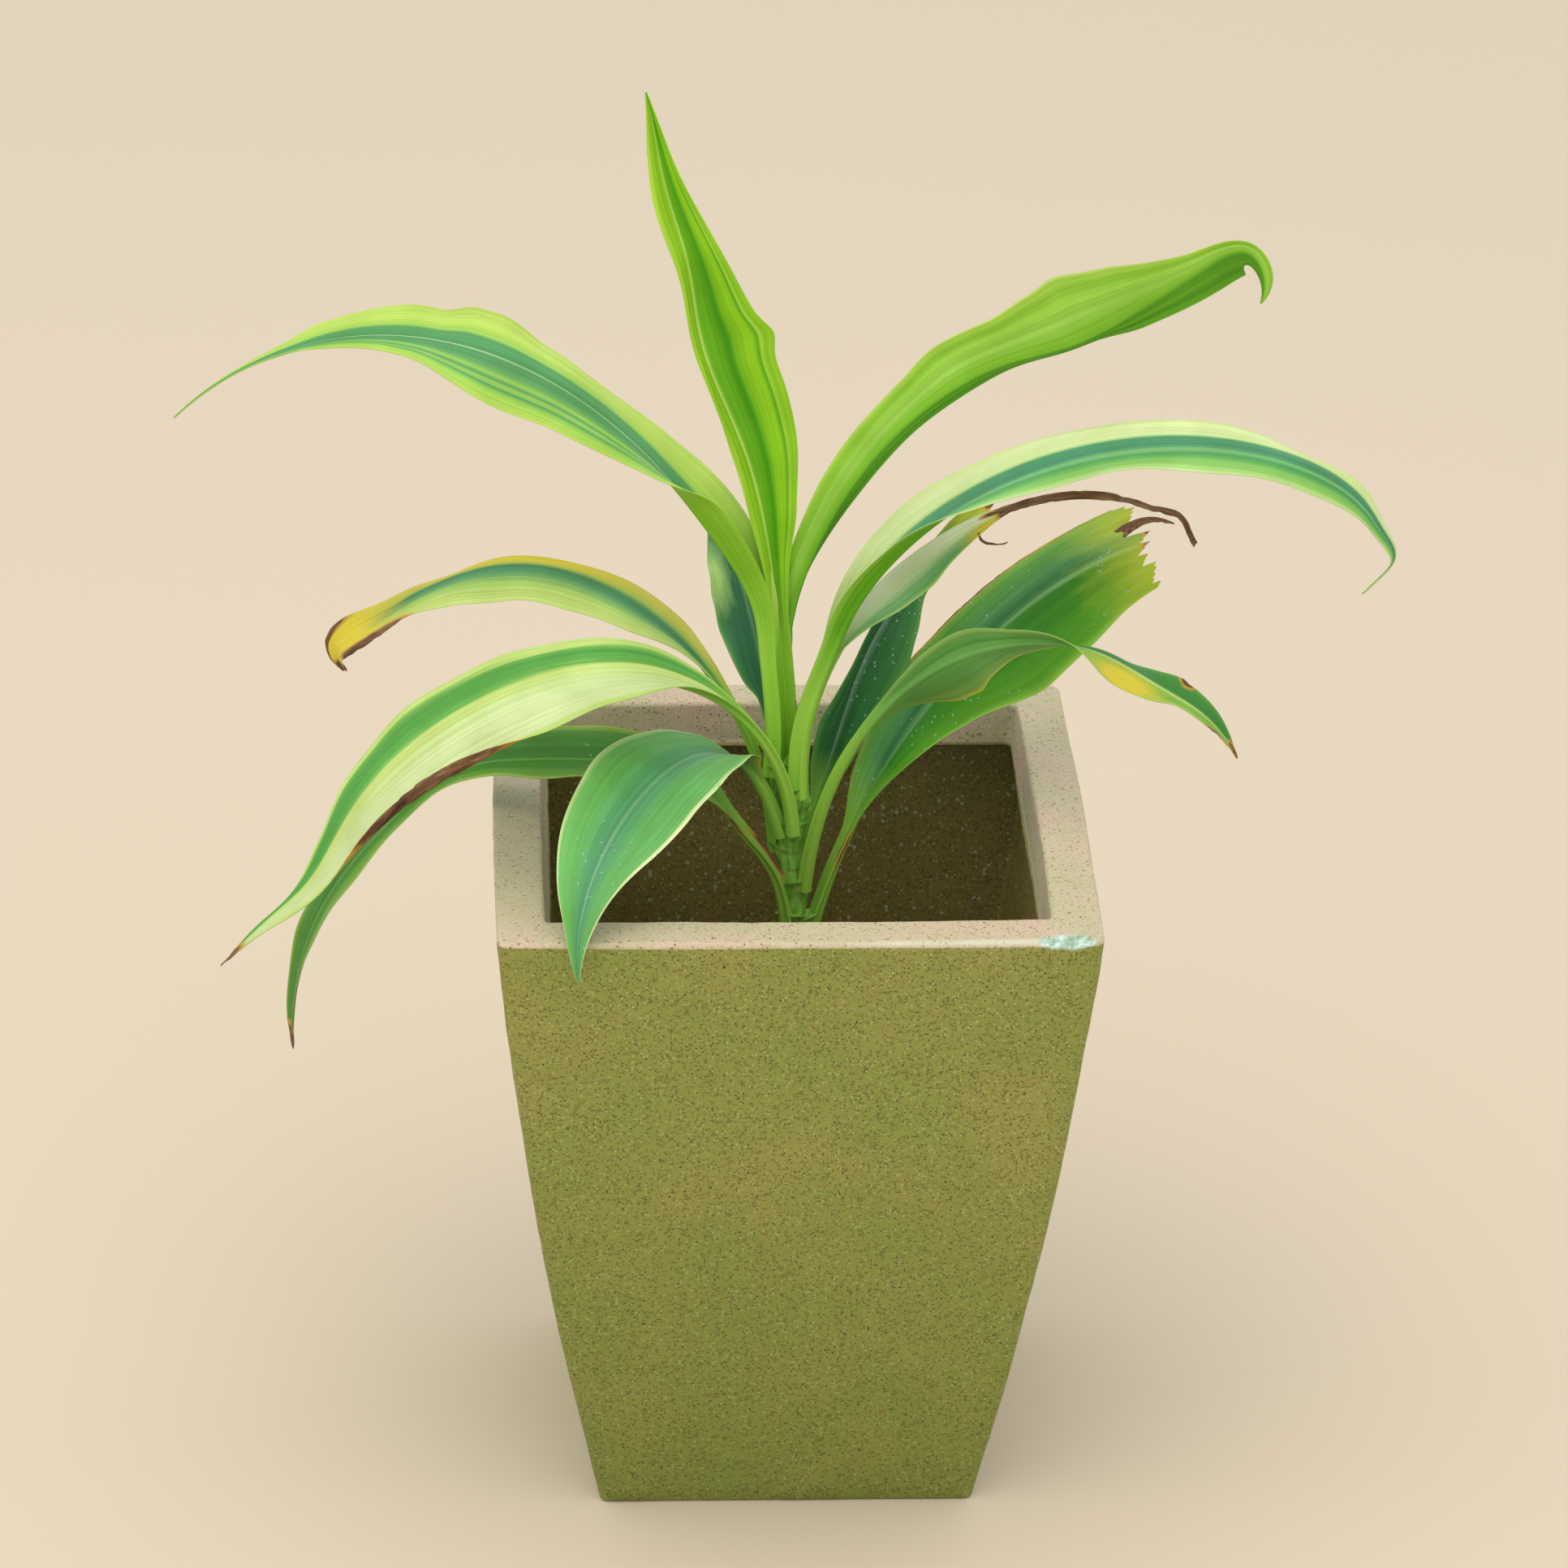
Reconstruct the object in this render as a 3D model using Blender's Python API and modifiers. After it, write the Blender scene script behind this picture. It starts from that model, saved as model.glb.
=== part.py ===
"""A young striped-leaf dracaena growing in a square, tapered planter of cast terrazzo.

Frame: metres, +Z up, origin on the ground under the middle of the planter, -Y the planter's front.
Pieces: the planter, the soil in it, the stem, and thirteen leaves.
"""
import bpy
import bmesh
import math
from dataclasses import dataclass

import numpy as np

MM = 0.001

# Planter
PLANTER_HEIGHT = 300 * MM
TOP_HALF = 127 * MM
FOOT_HALF = 82 * MM
WALL_SWELL = 4.5 * MM
CORNER_RADIUS = 5 * MM
WALL = 10 * MM
FLOOR = 14 * MM
RIM_WIDTH = 21.2 * MM
RIM_EDGE = 3 * MM
COLLAR_DEPTH = 19.4 * MM
COLLAR_SLANT = 2.5 * MM
CAVITY_TOP = 277 * MM
FOOT_CHAMFER = 1.5 * MM
DRAIN_RADIUS = 6 * MM
DRAIN_OFFSET = 40 * MM

# Soil and stem
GAP = 0.3 * MM
SOIL_TOP = 183 * MM
SOIL_MOUND = 4 * MM
STEM_BOTTOM = 140 * MM
STEM_TOP = 321 * MM
STEM_FOOT_RADIUS = 6.2 * MM
STEM_TOP_RADIUS = 4.2 * MM
STEM_FOOT_X = 5 * MM
STEM_TOP_X = -1.5 * MM

# Leaf sections
ACROSS = 4
ALONG = 22
STALK_THICKNESS = 2.2 * MM
BLADE_THICKNESS = 1.0 * MM
NARROWEST = 0.5 * MM
CREASE = 0.03  # how softly the two halves meet at the midrib; 0 would be a sharp V


@dataclass
class Leaf:
    """One leaf, in millimetres and degrees.

    heading is the compass direction it grows in, anticlockwise from +X. foot is where its stalk
    leaves the stem. arch holds the handles of the midrib's curve as (reach, height). roll and fold
    are handles too: roll turns the blade about its midrib, right margin down, and fold is how
    steeply each half rises from the midrib. Shares run from 0 at the foot to 1 at the tip.
    """
    heading: float
    foot: tuple
    arch: tuple
    half: float
    stalk: float
    blade_from: float
    widest: float
    roll: tuple
    fold: tuple
    flare: float = 0.8
    taper: float = 1.0
    bow: float = 0.0
    torn_at: float = 1.0
    dry_from: float = 1.0
    dry_half: float = 2.5
    colour: tuple = (0.10, 0.30, 0.05)


LIME = (0.26, 0.52, 0.03)
STRIPED = (0.22, 0.40, 0.10)
CREAM = (0.50, 0.62, 0.22)
GREEN = (0.06, 0.24, 0.05)
TEAL = (0.03, 0.15, 0.08)

LEAVES = {
    "leaf_spear": Leaf(
        heading=154, foot=(-1, 1.5), arch=((0, 321.7), (2, 420), (28, 505), (68, 616)),
        half=21, stalk=4.2, blade_from=0.25, widest=0.56, flare=1.3,
        roll=(-50, -30, -40, -70), fold=(45, 50, 30, 40), colour=LIME),
    "leaf_arch_left": Leaf(
        heading=176, foot=(-8.2, -4), arch=((0, 318), (-12, 463), (155, 575), (254, 477)),
        half=24, stalk=4.0, blade_from=0.14, widest=0.52, taper=2.1,
        roll=(0, 10, -60, -10), fold=(50, 35, -30, 10), colour=STRIPED),
    "leaf_arch_right": Leaf(
        heading=-16, foot=(1, 7.1), arch=((0, 316), (-24, 413), (28, 533), (215, 580), (195, 550)),
        half=24, stalk=4.0, blade_from=0.10, widest=0.62, taper=0.9,
        roll=(-30, -50, -60, -60, 0), fold=(45, 70, 60, -10, 15), colour=LIME),
    "leaf_sweep_right": Leaf(
        heading=-7, foot=(4.2, -5.5), arch=((0, 308), (-7, 415), (84, 540), (286, 490), (236, 416)),
        half=22, stalk=4.0, blade_from=0.10, widest=0.46, taper=0.9,
        roll=(-30, -10, 0, 20, 25), fold=(45, 40, -10, 5, 15), colour=CREAM),
    "leaf_withered": Leaf(
        heading=11, foot=(6.3, 2.6), arch=((0, 298), (-16, 395), (87, 462), (142, 450), (172, 409)),
        half=13, stalk=2.6, blade_from=0.24, widest=0.38, taper=0.8, dry_from=0.56,
        roll=(0, 10, 6), fold=(40, 15, 30), colour=CREAM),
    "leaf_rear_right": Leaf(
        heading=46, foot=(4.8, 5.8), arch=((0, 272), (21, 318), (73, 392), (125, 403)),
        bow=2, half=14, stalk=3.2, blade_from=0.20, widest=0.44, flare=1.0, taper=0.9,
        roll=(10, 60, 60, 30), fold=(40, 35, 45, 25), colour=TEAL),
    "leaf_broad_right": Leaf(
        heading=23, foot=(10.5, -3), arch=((0, 246), (27, 335), (102, 402), (219, 396)), torn_at=0.8,
        half=28, stalk=3.0, blade_from=0.20, widest=0.50, flare=1.7, taper=0.6,
        roll=(0, 15, 40, 20), fold=(40, 20, 5, 10), colour=GREEN),
    "leaf_twist_right": Leaf(
        heading=-12, foot=(6.2, -6.5), arch=((0, 264), (11, 382), (96, 420), (160, 395), (186, 345)),
        half=15, stalk=3.2, blade_from=0.16, widest=0.45, flare=0.6, taper=0.6,
        roll=(-30, -40, -150, 90, 10), fold=(40, 30, 5, 10, 10), colour=GREEN),
    "leaf_broad_left": Leaf(
        heading=197, foot=(2, -8.4), arch=((0, 292), (12, 418), (164, 410), (206, 317), (256, 268)),
        bow=7, half=27, stalk=3.2, blade_from=0.12, widest=0.50, flare=0.6, taper=1.2,
        roll=(10, 0, -30, 0, 10), fold=(40, 30, 0, 5, 10), colour=CREAM),
    "leaf_curl_left": Leaf(
        heading=173, foot=(-6, -0.5), arch=((0, 280), (2, 372), (82, 453), (186, 390), (184, 356)),
        half=17, stalk=2.6, blade_from=0.27, widest=0.52, taper=0.7,
        roll=(-10, -10, -12, -40), fold=(42, 20, 0, 25), colour=STRIPED),
    "leaf_hang_left": Leaf(
        heading=172, foot=(0, -8.2), arch=((0, 248), (8, 338), (110, 359), (226, 288), (219, 172)),
        half=20, stalk=3.0, blade_from=0.16, widest=0.50, taper=0.9,
        roll=(0, -20, -15, -20), fold=(40, 10, 10, 25, 10), colour=GREEN),
    "leaf_front_left": Leaf(
        heading=236, foot=(-3.1, -5.4), arch=((0, 290), (14, 358), (66, 362), (152, 338), (160, 287)),
        bow=-13, half=26, stalk=3.2, blade_from=0.12, widest=0.46, flare=0.6, taper=1.3,
        roll=(0, 0, -10, -18), fold=(40, 5, 5, 12), colour=GREEN),
    "leaf_rear": Leaf(
        heading=109, foot=(-4.2, 5.2), arch=((0, 304), (14, 355), (52, 388), (80, 410)),
        half=20, stalk=3.2, blade_from=0.16, widest=0.50, flare=0.7, taper=0.8,
        roll=(0, 5, 8), fold=(40, 25, 15), colour=TEAL),
}


def clear_scene():
    """Removes whatever objects the file opened with."""
    for obj in list(bpy.data.objects):
        bpy.data.objects.remove(obj, do_unlink=True)


def new_collection(name):
    """Returns a new collection linked to the scene."""
    collection = bpy.data.collections.new(name)
    bpy.context.scene.collection.children.link(collection)
    return collection


def finish(name, data, collection, colour, roughness):
    """Makes an object of the data in the collection, with a material of its own."""
    obj = bpy.data.objects.new(name, data)
    collection.objects.link(obj)
    material = bpy.data.materials.new(name)
    material.use_nodes = True
    shader = material.node_tree.nodes["Principled BSDF"]
    shader.inputs["Base Color"].default_value = (*colour, 1.0)
    shader.inputs["Roughness"].default_value = roughness
    data.materials.append(material)
    return obj


def cut(obj, cutter):
    """Takes the cutter's shape out of the object."""
    cutter.hide_render = True
    cutter.display_type = 'WIRE'
    boolean = obj.modifiers.new(cutter.name, 'BOOLEAN')
    boolean.operation = 'DIFFERENCE'
    boolean.solver = 'EXACT'
    boolean.object = cutter


def cylinder(name, radius, bottom, top, place, collection):
    """A plain cylinder, used as a cutter."""
    mesh = bpy.data.meshes.new(name)
    bm = bmesh.new()
    bmesh.ops.create_cone(bm, cap_ends=True, segments=24, radius1=radius, radius2=radius,
                          depth=top - bottom)
    bm.to_mesh(mesh)
    bm.free()
    obj = bpy.data.objects.new(name, mesh)
    obj.location = (place[0], place[1], (top + bottom) / 2)
    collection.objects.link(obj)
    return obj


def stacked(name, rows):
    """A closed body drawn up from a square face with round corners, by extruding its last face.

    Each row is (half side, height). The rows may turn over at a rim and come down again inside it,
    which leaves the body hollow.
    """
    half, height = rows[0]
    bm = bmesh.new()
    bmesh.ops.create_grid(bm, x_segments=1, y_segments=1, size=half)
    bmesh.ops.bevel(bm, geom=bm.verts[:], offset=half * CORNER_RADIUS / TOP_HALF, segments=3,
                    profile=0.5, affect='VERTICES')
    bmesh.ops.translate(bm, verts=bm.verts[:], vec=(0, 0, height))
    bm.faces.ensure_lookup_table()
    face = bm.faces[0]
    for next_half, next_height in rows[1:]:
        grown = bmesh.ops.extrude_face_region(bm, geom=[face])
        if height > rows[0][1]:
            bmesh.ops.delete(bm, geom=[face], context='FACES_ONLY')
        face = next(item for item in grown["geom"] if isinstance(item, bmesh.types.BMFace))
        growth = next_half / half
        bmesh.ops.scale(bm, verts=face.verts[:], vec=(growth, growth, 1))
        bmesh.ops.translate(bm, verts=face.verts[:], vec=(0, 0, next_height - height))
        half, height = next_half, next_height
    bmesh.ops.recalc_face_normals(bm, faces=bm.faces[:])
    mesh = bpy.data.meshes.new(name)
    bm.to_mesh(mesh)
    bm.free()
    return mesh


def outer_half(height):
    """Half the planter's width at a height: a straight taper with a gentle swell."""
    share = height / PLANTER_HEIGHT
    return FOOT_HALF + (TOP_HALF - FOOT_HALF) * share + WALL_SWELL * 4 * share * (1 - share)


def cavity_half(height):
    """Half the width of the hollow at a height: a straight taper, one wall inside the skin."""
    low = outer_half(FLOOR) - WALL
    high = outer_half(CAVITY_TOP) - WALL
    return low + (high - low) * (height - FLOOR) / (CAVITY_TOP - FLOOR)


def rim_rows(centre_half, start, end):
    """Rows round one edge of the rim, whose quarter circle is centred at this half side."""
    angles = np.radians(np.linspace(start, end, 4))
    centre_height = PLANTER_HEIGHT - RIM_EDGE
    return [(centre_half + RIM_EDGE * math.cos(angle), centre_height + RIM_EDGE * math.sin(angle))
            for angle in angles]


def planter(collection, cutters):
    """The planter: up its swollen outside, over the rim, down the collar and the hollow."""
    shoulder = PLANTER_HEIGHT - RIM_EDGE
    mouth = TOP_HALF - RIM_WIDTH
    rows = [(FOOT_HALF - FOOT_CHAMFER, 0.0)]
    rows += [(outer_half(height), height) for height in np.linspace(FOOT_CHAMFER, shoulder, 9)]
    rows += rim_rows(outer_half(shoulder) - RIM_EDGE, 0, 90)[1:]
    rows += rim_rows(mouth + RIM_EDGE, 90, 180)
    rows += [(mouth - COLLAR_SLANT, PLANTER_HEIGHT - COLLAR_DEPTH)]
    rows += [(cavity_half(height), height) for height in (CAVITY_TOP, FLOOR)]
    obj = finish("planter", stacked("planter", rows), collection, (0.29, 0.28, 0.07), 0.6)
    for index, (x, y) in enumerate(((1, 1), (-1, 1), (-1, -1), (1, -1))):
        place = (x * DRAIN_OFFSET, y * DRAIN_OFFSET)
        cut(obj, cylinder(f"drain_{index + 1}", DRAIN_RADIUS, -FLOOR, 2 * FLOOR, place, cutters))
    return obj


def soil(collection, cutters):
    """The soil: it fills the planter's lower part and rises a little towards the stem."""
    rows = [(cavity_half(height) - GAP, height) for height in (FLOOR + GAP, SOIL_TOP)]
    edge = rows[-1][0]
    rows += [(edge * share, SOIL_TOP + SOIL_MOUND * (1 - share)) for share in (0.75, 0.5, 0.25)]
    obj = finish("soil", stacked("soil", rows), collection, (0.05, 0.03, 0.02), 0.95)
    well = STEM_FOOT_RADIUS + GAP
    cut(obj, cylinder("stem_well", well, STEM_BOTTOM - GAP, 2 * SOIL_TOP, (STEM_FOOT_X, 0), cutters))
    return obj


def stem(collection):
    """The stem: upright in the soil, then leaning a little to the left, and thinner at the top."""
    curve = bpy.data.curves.new("stem", 'CURVE')
    curve.dimensions = '3D'
    curve.bevel_depth = 1.0  # so a point's radius is the stem's radius there
    curve.bevel_resolution = 2
    curve.use_fill_caps = True
    spline = curve.splines.new('POLY')
    shares = np.linspace(0, 1, 6)
    start = SOIL_TOP + SOIL_MOUND
    path = [(STEM_FOOT_X, STEM_BOTTOM, STEM_FOOT_RADIUS)]
    path += [(STEM_FOOT_X + (STEM_TOP_X - STEM_FOOT_X) * share ** 1.5,
              start + (STEM_TOP - start) * share,
              STEM_FOOT_RADIUS + (STEM_TOP_RADIUS - STEM_FOOT_RADIUS) * share) for share in shares]
    spline.points.add(len(path) - 1)
    for point, (x, height, radius) in zip(spline.points, path):
        point.co = (x, 0.0, height, 1.0)
        point.radius = radius
    return finish("stem", curve, collection, (0.20, 0.36, 0.07), 0.5)


def blend(handles, shares):
    """A smooth curve through the first and last handle, drawn towards those between."""
    handles = np.asarray(handles, float)
    last = len(handles) - 1
    weights = [math.comb(last, i) * shares ** i * (1 - shares) ** (last - i)
               for i in range(last + 1)]
    return np.stack(weights, -1) @ handles


def unit(vectors):
    """The vectors, each at length 1."""
    return vectors / np.linalg.norm(vectors, axis=1)[:, None]


def half_widths(leaf, shares):
    """Half the leaf's width along it: a narrow stalk, then a blade that swells and tapers."""
    along = np.clip((shares - leaf.blade_from) / (1 - leaf.blade_from), 0, 1)
    peak = (leaf.widest - leaf.blade_from) / (1 - leaf.blade_from)
    along = along ** (math.log(0.5) / math.log(peak))
    power = np.where(along < 0.5, leaf.flare, leaf.taper)
    blade = np.clip(np.sin(np.pi * along), 0, 1) ** power
    halves = leaf.stalk * np.sqrt(1 - shares) * (1 - blade) + leaf.half * blade
    halves = np.where(shares > leaf.dry_from, leaf.dry_half, halves)
    return np.maximum(halves * MM, NARROWEST)


def leaf_surface(leaf, shares, across):
    """Points of the leaf's upper face, one row per share, from the left margin to the right."""
    heading = math.radians(leaf.heading)
    outward = np.array([math.cos(heading), math.sin(heading), 0.0])
    left = np.array([-math.sin(heading), math.cos(heading), 0.0])
    arch = blend(leaf.arch, shares) * MM
    bow = leaf.bow * MM * 4 * shares * (1 - shares)
    midrib = np.array([*leaf.foot, 0.0]) * MM + arch[:, :1] * outward + bow[:, None] * left
    midrib[:, 2] = arch[:, 1]
    tangent = unit(np.gradient(midrib, axis=0))
    level = unit(-left + (tangent @ left)[:, None] * tangent)
    roll = np.radians(blend(leaf.roll, shares))[:, None]
    side = np.cos(roll) * level - np.sin(roll) * np.cross(level, tangent)
    upward = np.cross(side, tangent)
    fold = np.radians(blend(leaf.fold, shares))[:, None, None]
    halves = half_widths(leaf, shares)[:, None, None]
    across = across[None, :, None]
    lift = np.sqrt(across ** 2 + CREASE) - math.sqrt(CREASE)
    return midrib[:, None] + halves * (across * np.cos(fold) * side[:, None]
                                       + lift * np.sin(fold) * upward[:, None])


def leaf_object(name, leaf, collection):
    """A grid laid along the leaf's surface, thickened downwards, thickest in the stalk."""
    shares = np.linspace(0, leaf.torn_at, ALONG + 1)
    points = leaf_surface(leaf, shares, np.linspace(-1, 1, ACROSS + 1))
    mesh = bpy.data.meshes.new(name)
    bm = bmesh.new()
    bmesh.ops.create_grid(bm, x_segments=ACROSS, y_segments=ALONG, size=1)
    bm.verts.ensure_lookup_table()
    rows = []
    for vert in bm.verts:
        column = round((vert.co.x + 1) / 2 * ACROSS)
        row = round((vert.co.y + 1) / 2 * ALONG)
        vert.co = points[row, column]
        rows.append(row)
    bm.to_mesh(mesh)
    bm.free()
    obj = finish(name, mesh, collection, leaf.colour, 0.45)
    thick = obj.vertex_groups.new(name="stalk")
    for index, row in enumerate(rows):
        thick.add([index], max(0.0, 1 - shares[row] / (leaf.blade_from + 0.1)), 'REPLACE')
    solidify = obj.modifiers.new("thickness", 'SOLIDIFY')
    solidify.thickness = STALK_THICKNESS
    solidify.offset = -1
    solidify.vertex_group = thick.name
    solidify.thickness_vertex_group = BLADE_THICKNESS / STALK_THICKNESS
    return obj


def main():
    clear_scene()
    parts = new_collection("potted_dracaena")
    cutters = new_collection("cutters")
    planter(parts, cutters)
    soil(parts, cutters)
    stem(parts)
    for name, leaf in LEAVES.items():
        leaf_object(name, leaf, parts)


main()
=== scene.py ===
# %% [markdown]
# # A potted dracaena
#
# This lesson gives a young striped-leaf dracaena and its square terrazzo planter their looks.
# The measured solids come first, as a fixed frame in metres. Every piece that shows is then a surface
# worked out on a grid of two parameters, and every material starts from what the real one is.

# %% Loading the measured frame
import math
from dataclasses import dataclass

import bpy
import numpy as np
from mathutils import Matrix


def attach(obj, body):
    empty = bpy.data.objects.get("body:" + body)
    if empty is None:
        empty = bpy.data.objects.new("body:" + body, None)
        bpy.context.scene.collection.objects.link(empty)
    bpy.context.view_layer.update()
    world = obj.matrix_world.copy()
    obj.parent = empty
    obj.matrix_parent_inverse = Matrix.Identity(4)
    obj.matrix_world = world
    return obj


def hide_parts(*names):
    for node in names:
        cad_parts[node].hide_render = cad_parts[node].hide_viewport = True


MM = 0.001
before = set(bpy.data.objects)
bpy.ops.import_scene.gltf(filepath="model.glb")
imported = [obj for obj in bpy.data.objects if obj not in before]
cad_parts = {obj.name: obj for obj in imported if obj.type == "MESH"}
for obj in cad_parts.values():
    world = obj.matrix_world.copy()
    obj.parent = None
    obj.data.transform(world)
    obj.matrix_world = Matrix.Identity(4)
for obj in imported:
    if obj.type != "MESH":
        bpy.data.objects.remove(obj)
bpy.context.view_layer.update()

# %% [markdown]
# ## Camera
#
# The picture looks down on the planter from a standing height, a little from the left, through a long
# lens that keeps the planter's sides nearly straight. A camera looks along its own -Z, so it is first
# turned up from straight down, then round the upright axis, and last rolled by a degree.

# %% The camera
CAMERA_PLACE = (-0.1207, -2.5765, 1.5607)
CAMERA_PITCH = math.radians(25.84)
CAMERA_YAW = math.radians(2.63)
CAMERA_ROLL = math.radians(0.93)
CAMERA_LENS = 152.4

camera = bpy.data.objects.new("camera", bpy.data.cameras.new("camera"))
bpy.context.scene.collection.objects.link(camera)
camera.data.lens = CAMERA_LENS
camera.data.sensor_width = 36.0
camera.matrix_world = (
    Matrix.Translation(CAMERA_PLACE)
    @ Matrix.Rotation(-CAMERA_YAW, 4, "Z")
    @ Matrix.Rotation(math.pi / 2 - CAMERA_PITCH, 4, "X")
    @ Matrix.Rotation(CAMERA_ROLL, 4, "Z")
)
bpy.context.scene.camera = camera
print("camera:", round(CAMERA_PLACE[2], 2), "m up, lens", CAMERA_LENS, "mm")

# %% [markdown]
# ## Colours and nodes
#
# Colours are written as the hex codes that a paint program shows. Blender works in linear light, so one
# function turns them. One more function adds a node with its settings and links, one starts a material,
# and one lays colours over each other through masks, so that each recipe below reads as a list of what
# the surface is made of. Inputs are told by name or by number: a range node's 0 is the value, 1 and 2 the
# ends it comes from, 3 and 4 the ends it goes to, and a mix node's 0, 6 and 7 are the mask and the colours.

# %% Helpers for colours and materials
def linear(code):
    """The linear light of an sRGB hex code: c / 12.92 up to 0.04045, else ((c + 0.055) / 1.055) ** 2.4."""
    srgb = np.array([int(code[i : i + 2], 16) for i in (1, 3, 5)]) / 255
    light = np.where(srgb <= 0.04045, srgb / 12.92, ((srgb + 0.055) / 1.055) ** 2.4)
    return (*light.tolist(), 1.0)


def add(tree, kind, inputs=(), stops=(), **settings):
    """Adds a node with its settings, and a ramp's stops, and fills each input from a value or a link."""
    node = tree.nodes.new("ShaderNode" + kind)
    for name, value in settings.items():
        setattr(node, name, value)
    if stops:
        ramp = node.color_ramp.elements
        ramp.remove(ramp[1])
    for place, code in stops:
        stop = ramp[0] if place == stops[0][0] else ramp.new(place)
        stop.position = place
        stop.color = linear(code)
    return fill(tree, node, dict(inputs))


def fill(tree, node, inputs):
    """Fills a node's inputs, each from a value, from an output or from the first output of a node."""
    for socket, value in inputs.items():
        if isinstance(value, bpy.types.Node):
            value = value.outputs[0]
        if isinstance(value, bpy.types.NodeSocket):
            tree.links.new(value, node.inputs[socket])
        else:
            node.inputs[socket].default_value = value
    return node


def start_material(name):
    """A new material, its tree of nodes, and the shader that they feed."""
    material = bpy.data.materials.new(name)
    material.use_nodes = True
    return material, material.node_tree, material.node_tree.nodes["Principled BSDF"]


def layered(tree, ground, layers):
    """The ground colour with layers laid over it in turn, each (mask, colour) or (mask, colour, blend)."""
    for mask, colour, *blend in layers:
        over = linear(colour) if isinstance(colour, str) else colour
        settings = {"data_type": "RGBA", "blend_type": blend[0] if blend else "MIX"}
        ground = add(tree, "Mix", {0: mask, 6: ground, 7: over}, **settings).outputs[2]
    return ground


print("middle grey is", round(linear("#808080")[0], 3), "in linear light")

# %% [markdown]
# ## Floor and light
#
# The plant stands on a plain pale floor under a bright overcast sky. An even pale sky gives the
# shadowless look of an open yard, and one very wide lamp, high up to the front left, adds the soft
# direction that the leaves' sheen shows. A lamp shines along its own -Z, so it is turned towards the plant.

# %% The stage
FLOOR_REACH = 15.0
LAMP_SIZE, LAMP_POWER = 3.0, 38.0
LAMP_PLACE = (-0.5, -1.0, 3.0)
LAMP_TO_RIGHT, LAMP_TO_BACK = math.radians(-9), math.radians(18)

floor_mesh = bpy.data.meshes.new("floor")
floor_corners = [(FLOOR_REACH * x, FLOOR_REACH * y, 0) for x, y in ((-1, -1), (1, -1), (1, 1), (-1, 1))]
floor_mesh.from_pydata(floor_corners, [], [(0, 1, 2, 3)])
floor = bpy.data.objects.new("floor", floor_mesh)
bpy.context.scene.collection.objects.link(floor)

floor_material, tree, shader = start_material("pale matt floor")
fill(tree, shader, {"Base Color": linear("#dccdb4"), "Roughness": 0.9})
floor_mesh.materials.append(floor_material)

world = bpy.data.worlds.new("overcast sky")
bpy.context.scene.world = world
world.use_nodes = True
sky = world.node_tree.nodes["Background"]
fill(world.node_tree, sky, {"Color": linear("#f6f7fa"), "Strength": 1.0})

lamp = bpy.data.objects.new("wide lamp", bpy.data.lights.new("wide lamp", "AREA"))
bpy.context.scene.collection.objects.link(lamp)
lamp.data.size = LAMP_SIZE
lamp.data.energy = LAMP_POWER
lamp.data.color = linear("#fff6e6")[:3]
lamp.matrix_world = (
    Matrix.Translation(LAMP_PLACE)
    @ Matrix.Rotation(LAMP_TO_RIGHT, 4, "Y")
    @ Matrix.Rotation(LAMP_TO_BACK, 4, "X")
)
bpy.context.scene.view_settings.view_transform = "Standard"
print("stage:", 2 * FLOOR_REACH, "m of floor, lamp of", LAMP_SIZE, "m")

# %% [markdown]
# ## Surfaces from grids
#
# A grid of points, worked out as one numpy array, becomes a mesh in two ways. A closed skin, such as
# the planter or the stem, joins each row into a ring and ends in a pole at both ends. A thin shell, such
# as a leaf, joins an upper and a lower grid along their rims.

# %% Helpers for surfaces
SHARP_ANGLE = math.radians(55)


def make_object(name, points, faces, material, uv=None, **fields):
    """An object at the origin, of points and faces. Each point may carry a uv place and named numbers."""
    mesh = bpy.data.meshes.new(name)
    mesh.from_pydata(points, [], faces)
    if uv is not None:
        layer = mesh.uv_layers.new(name="pattern")
        corners = np.empty(len(mesh.loops), np.int32)
        mesh.loops.foreach_get("vertex_index", corners)
        layer.data.foreach_set("uv", uv[corners].astype(np.float32).ravel())
    for field, values in fields.items():
        attribute = mesh.attributes.new(field, "FLOAT", "POINT")
        attribute.data.foreach_set("value", np.ascontiguousarray(values, np.float32).ravel())
    mesh.shade_smooth()
    mesh.set_sharp_from_angle(angle=SHARP_ANGLE)
    mesh.materials.append(material)
    obj = bpy.data.objects.new(name, mesh)
    bpy.context.scene.collection.objects.link(obj)
    return obj


def quads(rows, columns, closed):
    """The corner indices of each cell of a grid: along its row, up to the next row and back."""
    row = np.arange(rows - 1)[:, None]
    column = np.arange(columns if closed else columns - 1)[None, :]
    after = (column + 1) % columns
    corners = [row * columns + column, row * columns + after,
               (row + 1) * columns + after, (row + 1) * columns + column]
    return np.stack(corners, -1).reshape(-1, 4)


def skin_faces(rows, columns):
    """Faces of a closed skin: its cells, and a fan from each end ring to its pole."""
    ring = np.arange(columns)
    low, high = rows * columns, rows * columns + 1
    first = np.stack([np.full(columns, low), np.roll(ring, -1), ring], -1)
    last = np.stack([np.full(columns, high), ring, np.roll(ring, -1)], -1)
    last[:, 1:] += (rows - 1) * columns
    return quads(rows, columns, True).tolist() + first.tolist() + last.tolist()


def shell_faces(rows, columns):
    """Faces of a thin shell: the upper cells, the lower ones turned over, and a strip round the rim."""
    upper = quads(rows, columns, False)
    count = rows * columns
    index = np.arange(count).reshape(rows, columns)
    rim = np.concatenate([index[0, :-1], index[:-1, -1], index[-1, :0:-1], index[:0:-1, 0]])
    after = np.roll(rim, -1)
    strip = np.stack([after, rim, rim + count, after + count], -1)
    return upper.tolist() + (upper[:, ::-1] + count).tolist() + strip.tolist()


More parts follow.
